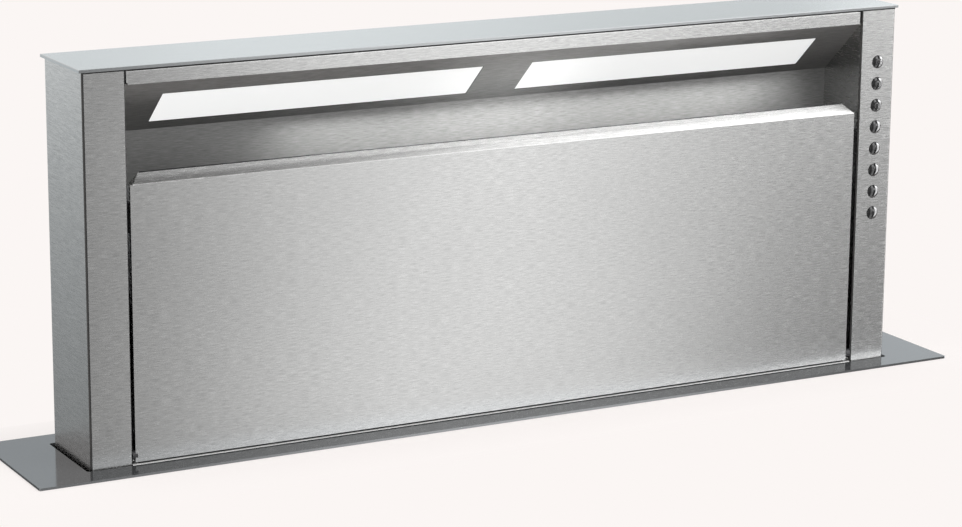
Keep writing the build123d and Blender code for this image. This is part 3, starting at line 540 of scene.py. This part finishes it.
def steelMaterial(name):
    plan = steelFinishes[name]
    tone = plan["tone"]
    dark = shade(tone, plan["streak"])
    mat, tree, shader = startMaterial(name, 0.3, plan.get("metallic", 1.0))
    grain = placeGroup(tree, brushedGrain, Along=plan["along"], Across=plan["across"], Cloud=plan["cloud"])
    streak = ranged(tree, grain["Streak"], *steelLook["streaks"], 0, 1)
    cloud = ranged(tree, grain["Cloud"], *steelLook["clouds"], 0, steelLook["cloudShare"])
    colour = mixColours(tree, cloud, mixColours(tree, streak, dark, shade(tone)), dark)
    if "flakes" in plan:
        flake = placeGroup(tree, zincFlakes, Scale=plan["flakes"])["Flake"]
        colour = mixColours(tree, flake, colour, shade(tone, plan["flakeShade"]))
    # painted highlight: a lighter tone on sharp edges
    edge = placeGroup(tree, edgeGlint, Sharpness=steelLook["sharpness"])["Mask"]
    colour = mixColours(tree, edge, colour, shade(tone, steelLook["edgeHighlight"]))
    # painted light: upright folds get a painted shade, and front faces a painted highlight on the frame and a painted
    # shade on the lid
    for mask in ("FoldShade", "FrontShading"):
        if mask in plan:
            colour = mixColours(tree, grain[mask], colour, shade(tone, plan[mask]))
    if "paintedMirrorLight" in plan:
        # painted light and shade: the camera sees the frame in its dark tone with half-strength reflections, while
        # metal that mirrors the front strip sees it painted 3.4 times lighter with full reflections
        rays = addNode(tree, "ShaderNodeLightPath").outputs
        ahead = mathNode(tree, "LESS_THAN", splitAxes(tree, objectPlace(tree))["Y"], plan["ahead"])
        paintedMirrorLight = mathNode(tree, "MULTIPLY", rays["Is Glossy Ray"], ahead)
        colour = mixColours(tree, paintedMirrorLight, colour, shade(tone, plan["paintedMirrorLight"]))
        shadedTint = shade((1, 1, 1), plan["reflectionShade"])
        feed(shader, {"Specular Tint": mixColours(tree, paintedMirrorLight, shadedTint, (1, 1, 1, 1))})
    rough = ranged(tree, grain["Streak"], *steelLook["clouds"], *plan["rough"])
    feed(shader, {"Base Color": colour, "Roughness": rough})
    addBump(tree, shader, grain["Streak"], plan["bump"], steelLook["depth"])
    if "anisotropic" in plan:
        feed(shader, {"Anisotropic": plan["anisotropic"], "Anisotropic Rotation": steelLook["turn"]})
    return mat


# moulded and painted finishes: two tones, roughness, scale of the speckle, bump
mouldedFinishes = {
    "blackPlastic": {"tone": (0.030, 0.030, 0.033), "other": (0.045, 0.045, 0.048), "rough": (0.38, 0.52),
                     "scale": 1400, "bump": 0.12},
    # black rubber, which also colours the painted shadow lines, the widened lamp seals and the rings in the button
    # gaps
    "blackRubberAndShadow": {"tone": (0.010, 0.010, 0.010), "other": (0.020, 0.020, 0.021), "rough": (0.70, 0.85),
                    "scale": 900, "bump": 0.20, "specular": 0.15},
    "motorPaint": {"tone": (0.035, 0.036, 0.040), "other": (0.05, 0.051, 0.055), "rough": (0.28, 0.40),
                   "scale": 500, "bump": 0.05},
    "signInk": {"tone": (0.012, 0.012, 0.012), "other": (0.02, 0.02, 0.02), "rough": (0.35, 0.45),
                "scale": 3000, "bump": 0.02, "specular": 0.10},
}
# shared by these finishes: detail and spans of the noise, painted highlight on edges, depth of the bump
mouldedLook = {"detail": 3, "mottle": (0.35, 0.65), "span": (0.3, 0.7), "edgeHighlight": 2.2, "sharpness": 2.0,
               "depth": 0.0003}


def mouldedMaterial(name):
    plan = mouldedFinishes[name]
    mat, tree, shader = startMaterial(name, 0.5, 0.0)
    speckle = noiseNode(tree, objectPlace(tree), plan["scale"], mouldedLook["detail"])["Fac"]
    mottle = ranged(tree, speckle, *mouldedLook["mottle"], 0, 1)
    base = mixColours(tree, mottle, shade(plan["tone"]), shade(plan["other"]))
    # painted highlight: a lighter tone on sharp edges
    edge = placeGroup(tree, edgeGlint, Sharpness=mouldedLook["sharpness"])["Mask"]
    feed(shader, {
        "Base Color": mixColours(tree, edge, base, shade(plan["other"], mouldedLook["edgeHighlight"])),
        "Roughness": ranged(tree, speckle, *mouldedLook["span"], *plan["rough"]),
        "Specular IOR Level": plan.get("specular", 0.5),
    })
    addBump(tree, shader, speckle, plan["bump"], mouldedLook["depth"])
    return mat


lampGlow = {
    "tone": (0.86, 0.865, 0.86),
    "rimTone": (0.82, 0.825, 0.82),
    "body": 0.14,  # share of the tone that the cover has by itself
    "roughness": 0.32,
    "frost": {"scale": 260, "detail": 4},
    "span": (0.3, 0.7),
    "rimShare": 0.25,
    "bump": 0.05,
    "depth": 0.0003,
    "reach": 0.385,
    "glow": (0.95, 0.86),  # from the left end to the right end
}


def lampMaterial():
    # frosted white cover, lit from behind
    mat, tree, shader = startMaterial("frostedLamp", lampGlow["roughness"], 0.0)
    place = objectPlace(tree)
    frost = noiseNode(tree, place, **lampGlow["frost"])["Fac"]
    rim = ranged(tree, frost, *lampGlow["span"], 0, lampGlow["rimShare"])
    tone, rimTone, reach = (lampGlow[key] for key in ("tone", "rimTone", "reach"))
    feed(shader, {
        "Base Color": shade(tone, lampGlow["body"]),
        "Emission Color": mixColours(tree, rim, shade(tone), shade(rimTone)),
        "Emission Strength": ranged(tree, splitAxes(tree, place)["X"], -reach, reach, *lampGlow["glow"]),
    })
    addBump(tree, shader, frost, lampGlow["bump"], lampGlow["depth"])
    return mat


finish = {name: steelMaterial(name) for name in steelFinishes}
finish.update({name: mouldedMaterial(name) for name in mouldedFinishes})
finish["frostedLamp"] = lampMaterial()

buttonNames = ("lamp", "filter", "delay", "boost", "3", "2", "1", "0")
wearing = {
    "brushedSteel": ("tower_back", "post_left", "post_right", "head_fascia", "front_panel", "panel_liner"),
    "recessShadedSteel": ("recess_liner",),
    "sillHighlightSteel": ("sill_panel",),
    "satinFrame": ("worktop_frame",),
    "satinLid": ("lid",),
    "polishedDome": tuple("button_" + name for name in buttonNames),
    "zincSheet": ("case_front", "case_back", "case_side_left", "case_side_right", "case_floor", "duct_floor",
                  "duct_outlet", "mounting_brackets", "lid_carrier", "tower_base", "filter_rail", "drip_tray",
                  "control_box", "control_cover", "guide_rail_left", "guide_rail_right"),
    "filterAluminium": ("filter_left", "filter_middle", "filter_right", "lamp_housing_left", "lamp_housing_right"),
    "frostedLamp": ("lamp_cover_left", "lamp_cover_right"),
    "groundSteel": ("lead_screw_left", "lead_screw_right"),
    "turnedBronze": ("lift_nut_left", "lift_nut_right", "screw_bearings"),
    "castMetal": ("lift_gearbox",),
    "motorPaint": ("lift_motor",),
    "blackPlastic": ("slider_left", "slider_right", "inlet_gland", "button_board", "limit_switches",
                     "belt_pulley_left", "belt_pulley_right", "panel_magnets", "panel_pivots"),
    "blackRubberAndShadow": ("frame_gasket", "drive_belt"),
}


def dressNodes():
    for name, members in wearing.items():
        for member in members:
            slots = nodes[member].data.materials
            slots.clear()
            slots.append(finish[name])
            for polygon in nodes[member].data.polygons:
                polygon.material_index = 0
    bare = set(nodes) - {member for members in wearing.values() for member in members}
    if bare:
        raise ValueError(f"no finish for {sorted(bare)}")


dressNodes()
print("finishes on", len(nodes), "nodes")


# thin strips: a black seal round each lamp cover on the slope, its lower and right sides widened as painted shade,
# then painted shadow and highlight lines that run across the tower
sealsAndShade = {"thin": 0.00025, "wide": 0.0009, "proud": 0.00005}
strips = {
    # each from its upper or rear edge to its lower or front edge, as (y, z)
    # a black line in the gap under the lid and over the fascia's top edge: painted shadow
    "lidSeal": {"half": 0.4745, "from": (-0.0500, 0.3995), "to": (-0.0500, 0.3981), "body": "tower"},
    # a black strip over the rear of the sill's top, under the panel: painted shadow
    "sillSeal": {"half": 0.4243, "from": (-0.0340, 0.0027), "to": (-0.0480, 0.0027), "body": "tower"},
    # a black line along the bevel's top edge: painted shade
    "panelTrim": {"half": 0.4143, "from": (-0.0390, 0.2960), "to": (-0.0400, 0.29505), "body": "front_panel"},
    # a light strip along the fold between the bevel and the panel's face: painted highlight
    "panelRidge": {"half": 0.4246, "from": (-0.0494, 0.28607), "to": (-0.0500, 0.2855), "body": "front_panel",
                   "finish": "foldGlint", "slot": "brushed_stainless"},
}
stripProud = 0.00004
# narrow returns that close part of the gaps beside the left post: lower and upper corner
returns = {
    "panelReturn": {"low": (-0.4276, -0.0500, 0.0047), "high": (-0.4248, -0.0460, 0.2855), "body": "front_panel"},
    "headReturn": {"low": (-0.4294, -0.0500, 0.3862), "high": (-0.4280, -0.0460, 0.3987), "body": "tower"},
}


def stripShape(corners, lift):
    # a flat closed strip: four corners of its middle plane, and the vector from there to its face
    verts = [Vector(corner) + lift for corner in corners] + [Vector(corner) - lift for corner in corners]
    faces = [(0, 1, 2, 3), (7, 6, 5, 4)] + [(i, 4 + i, 4 + (i + 1) % 4, (i + 1) % 4) for i in range(4)]
    return verts, faces


def finishPiece(piece, body, finishName):
    if finishName not in [mat.name for mat in piece.data.materials if mat]:
        piece.data.materials.clear()
        piece.data.materials.append(finish[finishName])
    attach(piece, body)


def makeSealsAndShade():
    lift = onSlope(0, 0, sealsAndShade["proud"]) - onSlope(0, 0)
    upper = slope["coverMiddle"] - slope["coverHalf"]
    lower = slope["coverMiddle"] + slope["coverHalf"]
    near, far = slope["coverNear"], slope["coverFar"]
    thin, wide = sealsAndShade["thin"], sealsAndShade["wide"]
    for side, (left, right) in (("Left", (-far, -near)), ("Right", (near, far))):
        # the upper and left edges are thin; the lower and right ones are widened as painted shade where the covers sit
        # below the liner
        edges = (
            (left, right, upper, upper + thin),
            (left, right, lower - wide, lower),
            (left, left + thin, upper, lower),
            (right - wide, right, upper, lower),
        )
        parts = [
            stripShape([onSlope(a, c), onSlope(a, d), onSlope(b, d), onSlope(b, c)], lift)
            for a, b, c, d in edges
        ]
        finishPiece(solidPiece("lampSeal" + side, *parts), "tower", "blackRubberAndShadow")


def makeStrips():
    for name, plan in strips.items():
        (y1, z1), (y2, z2), half = plan["from"], plan["to"], plan["half"]
        lift = Vector((0, z2 - z1, y1 - y2)).normalized() * stripProud
        corners = [(-half, y1, z1), (-half, y2, z2), (half, y2, z2), (half, y1, z1)]
        strip = solidPiece(name, stripShape(corners, lift))
        finishPiece(strip, plan["body"], plan.get("finish", "blackRubberAndShadow"))


def makeReturns():
    for name, plan in returns.items():
        low, high = Vector(plan["low"]), Vector(plan["high"])
        middle = (low.y + high.y) / 2
        corners = [(low.x, middle, low.z), (high.x, middle, low.z), (high.x, middle, high.z), (low.x, middle, high.z)]
        piece = solidPiece(name, stripShape(corners, Vector((0, (high.y - low.y) / 2, 0))))
        finishPiece(piece, plan["body"], "brushedSteel")


makeSealsAndShade()
makeStrips()
makeReturns()
print("seals, strips and returns made")


# signs on the buttons, in millimetres: the domes and their places, then each drawing from its dome's middle
signs = {
    "segments": 28,
    "dome": 16.16,
    "tip": -52.2,
    "x": 453.6,
    "top": 340.8,
    "pitch": 24.27,
    "proud": 0.03,
    "depth": 0.12,
    "digitSize": 8.6,
    "bolder": 0.22,
}
drawings = {
    "bulb": (0.9, 2.1),  # rings have an inner and an outer radius
    "rim": (3.3, 4.4),
    "hub": (0.9, 2.0),
    "dot": (0.02, 0.62),
    "dotsX": (-1.5, 0, 1.5),
    "dotsZ": (-1.0, 1.0),
    "rays": {"inner": 2.9, "outer": 4.4, "count": 8, "width": 0.9},
    "arrow": {"tips": (0.0, 2.3), "back": 2.2, "spread": (-2.6, 2.6), "width": 1.0},
}


def circle(radius, sides, x=0.0, y=0.0, start=0.0):
    turns = [2 * math.pi * (i + start) / sides for i in range(sides)]
    return [(x + radius * math.cos(t), y + radius * math.sin(t)) for t in turns]


def ringShape(inner, outer, x=0.0, z=0.0):
    count = signs["segments"]
    verts = circle(inner, count, x, z) + circle(outer, count, x, z)
    return verts, [(i, count + i, count + (i + 1) % count, (i + 1) % count) for i in range(count)]


def barShape(start, end, width):
    (x1, z1), (x2, z2) = start, end
    length = math.hypot(x2 - x1, z2 - z1)
    sideX, sideZ = -(z2 - z1) / length * width / 2, (x2 - x1) / length * width / 2
    verts = [(x1 + sideX, z1 + sideZ), (x1 - sideX, z1 - sideZ), (x2 - sideX, z2 - sideZ), (x2 + sideX, z2 + sideZ)]
    return verts, [(0, 1, 2, 3)]


def spokes(inner, outer, count, width):
    return [barShape(start, end, width) for start, end in zip(circle(inner, count), circle(outer, count))]


def digitShape(digit):
    text = bpy.data.curves.new("digit", "FONT")
    text.body, text.size, text.offset = digit, signs["digitSize"], signs["bolder"]
    text.align_x, text.align_y = "CENTER", "CENTER"
    holder = placePiece("digit", text)
    bpy.context.view_layer.update()
    flat = bpy.data.meshes.new_from_object(holder)
    verts = [(v.co.x, v.co.y) for v in flat.vertices]
    faces = [tuple(p.vertices) for p in flat.polygons]
    bpy.data.objects.remove(holder)
    bpy.data.meshes.remove(flat)
    return verts, faces


def signShapes(name):
    rim = ringShape(*drawings["rim"])
    if name == "lamp":
        return [ringShape(*drawings["bulb"])] + spokes(**drawings["rays"])
    if name == "filter":
        return [rim] + [ringShape(*drawings["dot"], x, z) for x in drawings["dotsX"] for z in drawings["dotsZ"]]
    if name == "delay":
        return [rim, ringShape(*drawings["hub"])]
    if name == "boost":
        arrow = drawings["arrow"]
        ends = [((x - arrow["back"], z), (x, 0)) for x in arrow["tips"] for z in arrow["spread"]]
        return [barShape(start, tip, arrow["width"]) for start, tip in ends]
    return [digitShape(name)]


def makeSign(number, name):
    shape = bmesh.new()
    for verts, faces in signShapes(name):
        addShape(shape, [(x, 0, z) for x, z in verts], faces)
    bmesh.ops.triangulate(shape, faces=shape.faces)
    grown = bmesh.ops.extrude_face_region(shape, geom=list(shape.faces))
    rear = {v for v in grown["geom"] if isinstance(v, bmesh.types.BMVert)}
    dome, tip = signs["dome"], signs["tip"]
    height = signs["top"] - signs["pitch"] * number
    for vert in shape.verts:
        x, z = vert.co.x, vert.co.z
        sunk = signs["depth"] if vert in rear else -signs["proud"]
        y = tip + dome - math.sqrt(dome * dome - x * x - z * z) + sunk
        vert.co = Vector((signs["x"] + x, y, height + z)) * millimetre
    finishPiece(closePiece("sign_" + name, shape), "button_" + name, "signInk")


for number, name in enumerate(buttonNames):
    makeSign(number, name)
print("button signs made")


# fittings: one pattern of each kind, set out by nodes on points that carry aim and size
def fittingTree():
    tree = bpy.data.node_groups.new("fittingsOnPoints", "GeometryNodeTree")
    sockets = {"Points": "Geometry", "Pattern": "Object", "Finish": "Material", "Turn": "Float", "Seed": "Int"}
    for name, kind in sockets.items():
        tree.interface.new_socket(name=name, in_out="INPUT", socket_type="NodeSocket" + kind)
    tree.interface.new_socket(name="Fittings", in_out="OUTPUT", socket_type="NodeSocketGeometry")
    given = tree.nodes.new("NodeGroupInput").outputs
    aim = addNode(tree, "GeometryNodeInputNamedAttribute", {"Name": "aim"}, data_type="FLOAT_VECTOR")
    size = addNode(tree, "GeometryNodeInputNamedAttribute", {"Name": "size"}, data_type="FLOAT")
    outward = addNode(tree, "FunctionNodeAlignRotationToVector", {"Vector": aim.outputs["Attribute"]}, axis="Z")
    alongX = {"Rotation": outward.outputs["Rotation"], "Vector": (1, 0, 0)}
    level = addNode(tree, "FunctionNodeAlignRotationToVector", alongX, axis="X", pivot_axis="Z")
    # a random turn about the aim, from nothing to the one given
    chance = addNode(tree, "FunctionNodeRandomValue", {3: given["Turn"], "Seed": given["Seed"]}, data_type="FLOAT")
    spin = addNode(tree, "ShaderNodeCombineXYZ", {"Z": chance.outputs[1]})
    spinTurn = addNode(tree, "FunctionNodeEulerToRotation", {0: spin.outputs[0]})
    turns = {"Rotation": level.outputs["Rotation"], "Rotate By": spinTurn.outputs[0]}
    turned = addNode(tree, "FunctionNodeRotateRotation", turns, rotation_space="LOCAL")
    source = addNode(tree, "GeometryNodeObjectInfo", {"Object": given["Pattern"]})
    spread = addNode(tree, "GeometryNodeInstanceOnPoints", {
        "Points": given["Points"],
        "Instance": source.outputs["Geometry"],
        "Rotation": turned.outputs["Rotation"],
        "Scale": size.outputs["Attribute"],
    })
    real = addNode(tree, "GeometryNodeRealizeInstances", {0: spread.outputs[0]})
    coat = addNode(tree, "GeometryNodeSetMaterial", {"Geometry": real.outputs[0], "Material": given["Finish"]})
    addNode(tree, "NodeGroupOutput", {0: coat.outputs[0]})
    return tree


fittings = fittingTree()
fittingSeed = 7


def setOut(name, pattern, spots, body, finishName, turn=0.0):
    # spots: place, aim and size of each copy
    places, aims, sizes = zip(*spots)
    carrier = meshPiece(name + "Points", places, [])
    attributes = carrier.data.attributes
    attributes.new("aim", "FLOAT_VECTOR", "POINT").data.foreach_set("vector", [part for aim in aims for part in aim])
    attributes.new("size", "FLOAT", "POINT").data.foreach_set("value", list(sizes))
    modifier = carrier.modifiers.new("fittings", "NODES")
    modifier.node_group = fittings
    values = {"Pattern": pattern, "Finish": finish[finishName], "Turn": turn, "Seed": fittingSeed}
    for socket in fittings.interface.items_tree:
        if socket.in_out == "INPUT" and socket.name in values:
            modifier[socket.identifier] = values[socket.name]
    bpy.context.view_layer.update()
    ready = carrier.evaluated_get(bpy.context.evaluated_depsgraph_get())
    mesh = bpy.data.meshes.new_from_object(ready)
    mesh.name = name
    carrier.modifiers.remove(modifier)
    bpy.data.objects.remove(carrier)
    finishPiece(placePiece(name, mesh), body, finishName)


def tubeFaces(rings, sides, closed=False):
    # quads from ring to ring; the last ring joins the first when closed, and both ends are capped when not
    faces = []
    for ring in range(rings if closed else rings - 1):
        here, there = ring * sides, (ring + 1) % rings * sides
        faces += [(here + i, here + (i + 1) % sides, there + (i + 1) % sides, there + i) for i in range(sides)]
    if not closed:
        faces += [tuple(range(sides))[::-1], tuple(range((rings - 1) * sides, rings * sides))]
    return faces


screws = {
    "size": 0.0036,
    "small": 0.0026,
    "sides": 24,
    "socket": 0.36,  # half the width of the hexagon in a head of radius 1
    # radius and height of each ring
    "rings": ((1.0, -0.10), (1.0, 0.14), (0.93, 0.30), (0.76, 0.44), (0.55, 0.50), ("hex", 0.50), ("hex", 0.14)),
    "towerBack": {"x": 0.4665, "low": 0.022, "high": 0.385, "count": 6, "face": 0.0500},
    "caseBack": {"x": 0.4815, "low": -0.72, "high": -0.06, "count": 7, "face": 0.0605},
    "caseFront": {"x": 0.4815, "low": -0.72, "high": -0.06, "count": 7, "face": -0.0565},
    "outlet": {"middle": (-0.220, -0.620), "radius": 0.0825, "count": 8, "face": -0.0580},
    "cover": {"x": (0.1283, 0.3717), "y": -0.0915, "z": (-0.300, -0.210)},
    "bracket": {"x": 0.4905, "y": 0.032, "z": -0.068},
}


def hexagonReach(turn):
    return screws["socket"] / math.cos((turn + math.pi / 6) % (math.pi / 3) - math.pi / 6)


def screwPattern():
    # button head of radius 1 with a hexagon socket, standing on z = 0
    rings, sides = screws["rings"], screws["sides"]
    verts = []
    for radius, z in rings:
        for x, y in circle(1.0, sides):
            reach = hexagonReach(math.atan2(y, x)) if radius == "hex" else radius
            verts.append((reach * x, reach * y, z))
    pattern = meshPiece("screwPattern", verts, tubeFaces(len(rings), sides))
    for polygon in pattern.data.polygons:
        polygon.use_smooth = len(polygon.vertices) == 4
    return pattern


def column(plan):
    steps = [i / (plan["count"] - 1) for i in range(plan["count"])]
    heights = [plan["low"] + (plan["high"] - plan["low"]) * t for t in steps]
    return [(x, plan["face"], z) for x in (-plan["x"], plan["x"]) for z in heights]


def rootScrews():
    size = screws["size"]
    spots = [(place, (0, 1, 0), size) for place in column(screws["caseBack"])]
    spots += [(place, (0, -1, 0), size) for place in column(screws["caseFront"])]
    outlet = screws["outlet"]
    ring = circle(outlet["radius"], outlet["count"], *outlet["middle"], start=0.5)
    spots += [((x, outlet["face"], z), (0, -1, 0), size) for x, z in ring]
    cover = screws["cover"]
    for x, side in zip(cover["x"], (-1, 1)):
        spots += [((x, cover["y"], z), (side, 0, 0), screws["small"]) for z in cover["z"]]
    x, y, z = (screws["bracket"][key] for key in "xyz")
    spots += [((side * x, end * y, z), (side, 0, 0), size) for side in (-1, 1) for end in (-1, 1)]
    return spots


def towerScrews():
    return [(place, (0, 1, 0), screws["small"]) for place in column(screws["towerBack"])]


handles = {
    "half": 0.031,  # half the width of the loop
    "drop": 0.030,
    "corner": 0.008,
    "wire": 0.0013,
    "stand": 0.0022,
    "steps": 10,
    "sides": 10,
    "x": (-0.286, 0, 0.286),
    "foot": (-0.03024, 0.02206),  # foot of the filters' face, as (y, z)
    "along": 0.2450,
    "tilt": 11.35,
}


def handlePattern():
    # folded wire handle: two feet on the border and a loop that hangs in front of the baffles
    half, drop, corner, wire, stand = (handles[key] for key in ("half", "drop", "corner", "wire", "stand"))
    path = [Vector((-half, 0, -wire)), Vector((-half, 0, stand))]
    for i in range(handles["steps"] + 1):
        turn = math.pi / 2 * i / handles["steps"]
        path.append(Vector((-half + corner * (1 - math.cos(turn)), -drop + corner * (1 - math.sin(turn)), stand)))
    path += [Vector((-p.x, p.y, p.z)) for p in reversed(path)]
    verts = []
    for i, point in enumerate(path):
        ahead = (path[min(i + 1, len(path) - 1)] - path[max(i - 1, 0)]).normalized()
        side = (side - ahead * side.dot(ahead) if verts else ahead.orthogonal()).normalized()
        upward = ahead.cross(side)
        verts += [point + (side * a + upward * b) * wire for a, b in circle(1.0, handles["sides"])]
    return solidPiece("handlePattern", (verts, tubeFaces(len(path), handles["sides"])))


def handleSpots():
    tilt, along = math.radians(handles["tilt"]), handles["along"]
    y, z = handles["foot"]
    place = (y + along * math.sin(tilt), z + along * math.cos(tilt))
    return [((x, *place), (0, -math.cos(tilt), math.sin(tilt)), 1.0) for x in handles["x"]]


# dark rings laid in the gaps round the buttons, a painted shadow, in millimetres
gapShadeRings = {"inner": 6.85, "outer": 7.30, "low": -0.3, "high": 0.05, "sides": 40, "face": -50.0}


def collarPattern():
    # flat ring, its face toward z
    inner, outer, low, high = (gapShadeRings[key] * millimetre for key in ("inner", "outer", "low", "high"))
    rings = ((inner, low), (outer, low), (outer, high), (inner, high))
    verts = [(x, y, z) for radius, z in rings for x, y in circle(radius, gapShadeRings["sides"])]
    return solidPiece("collarPattern", (verts, tubeFaces(len(rings), gapShadeRings["sides"], closed=True)))


def gapShadeSpots():
    x, y = signs["x"] * millimetre, gapShadeRings["face"] * millimetre
    heights = [signs["top"] - signs["pitch"] * number for number in range(len(buttonNames))]
    return [((x, y, z * millimetre), (0, -1, 0), 1.0) for z in heights]


welds = {
    "radius": 0.0022,
    "sides": 20,
    # radius and height of each ring, on a mark of radius 1
    "rings": ((1.0, -0.06), (1.0, 0.05), (0.72, 0.12), (0.40, 0.04)),
    "x": 0.44,
    "count": 12,
    "heights": (-0.72, -0.40, -0.07),
    "front": -0.0575,
    "back": 0.0605,
    "clear": 0.10,  # kept free round the duct's outlet
}


def weldPattern():
    # shallow round mark
    rings, sides = welds["rings"], welds["sides"]
    verts = [(x, y, z) for radius, z in rings for x, y in circle(radius, sides)]
    return solidPiece("weldPattern", (verts, tubeFaces(len(rings), sides)))


def weldSpots():
    # spot welds along the case's hidden stiffeners, on both large sheets
    columns = [welds["x"] * (2 * i / (welds["count"] - 1) - 1) for i in range(welds["count"])]
    marks = [(x, z) for x in columns for z in welds["heights"]]
    outlet, clear, radius = screws["outlet"]["middle"], welds["clear"], welds["radius"]
    spots = [((x, welds["front"], z), (0, -1, 0), radius) for x, z in marks if math.dist((x, z), outlet) > clear]
    return spots + [((x, welds["back"], z), (0, 1, 0), radius) for x, z in marks]


louvres = {
    "half": 0.020,
    "rise": 0.0012,
    "depth": 0.0016,
    "steps": 8,
    "face": -0.0972,
    "x": (0.20, 0.30),
    "low": -0.300,
    "pitch": 0.009,
    "count": 6,
}


def louvrePattern():
    # pressed vent: a half round blade that lies along x
    half, rise, depth, steps = (louvres[key] for key in ("half", "rise", "depth", "steps"))
    turns = [math.pi * i / steps for i in range(steps + 1)]
    verts = [(x, depth * math.cos(t), rise * math.sin(t)) for x in (-half, half) for t in turns]
    count = len(turns)
    faces = [(i, i + 1, count + i + 1, count + i) for i in range(steps)]
    faces += [(steps, 0, count, 2 * count - 1), tuple(range(count)), tuple(range(count, 2 * count))]
    return solidPiece("louvrePattern", (verts, faces))


def louvreSpots():
    heights = [louvres["low"] + louvres["pitch"] * i for i in range(louvres["count"])]
    return [((x, louvres["face"], z), (0, -1, 0), 1.0) for x in louvres["x"] for z in heights]


patterns = [screwPattern(), handlePattern(), collarPattern(), weldPattern(), louvrePattern()]
screwHead, wireHandle, buttonGapShade, weldMark, louvreBlade = patterns
setOut("caseScrews", screwHead, rootScrews(), "root", "groundSteel", turn=2 * math.pi)
setOut("towerScrews", screwHead, towerScrews(), "tower", "groundSteel", turn=2 * math.pi)
setOut("filterHandles", wireHandle, handleSpots(), "tower", "groundSteel")
# black rings in the gaps round the buttons: painted shadow
setOut("buttonCollars", buttonGapShade, gapShadeSpots(), "tower", "blackRubberAndShadow")
setOut("spotWelds", weldMark, weldSpots(), "root", "zincSheet")
setOut("coverLouvres", louvreBlade, louvreSpots(), "root", "zincSheet")
for pattern in patterns:
    bpy.data.objects.remove(pattern)
print("fittings set out")
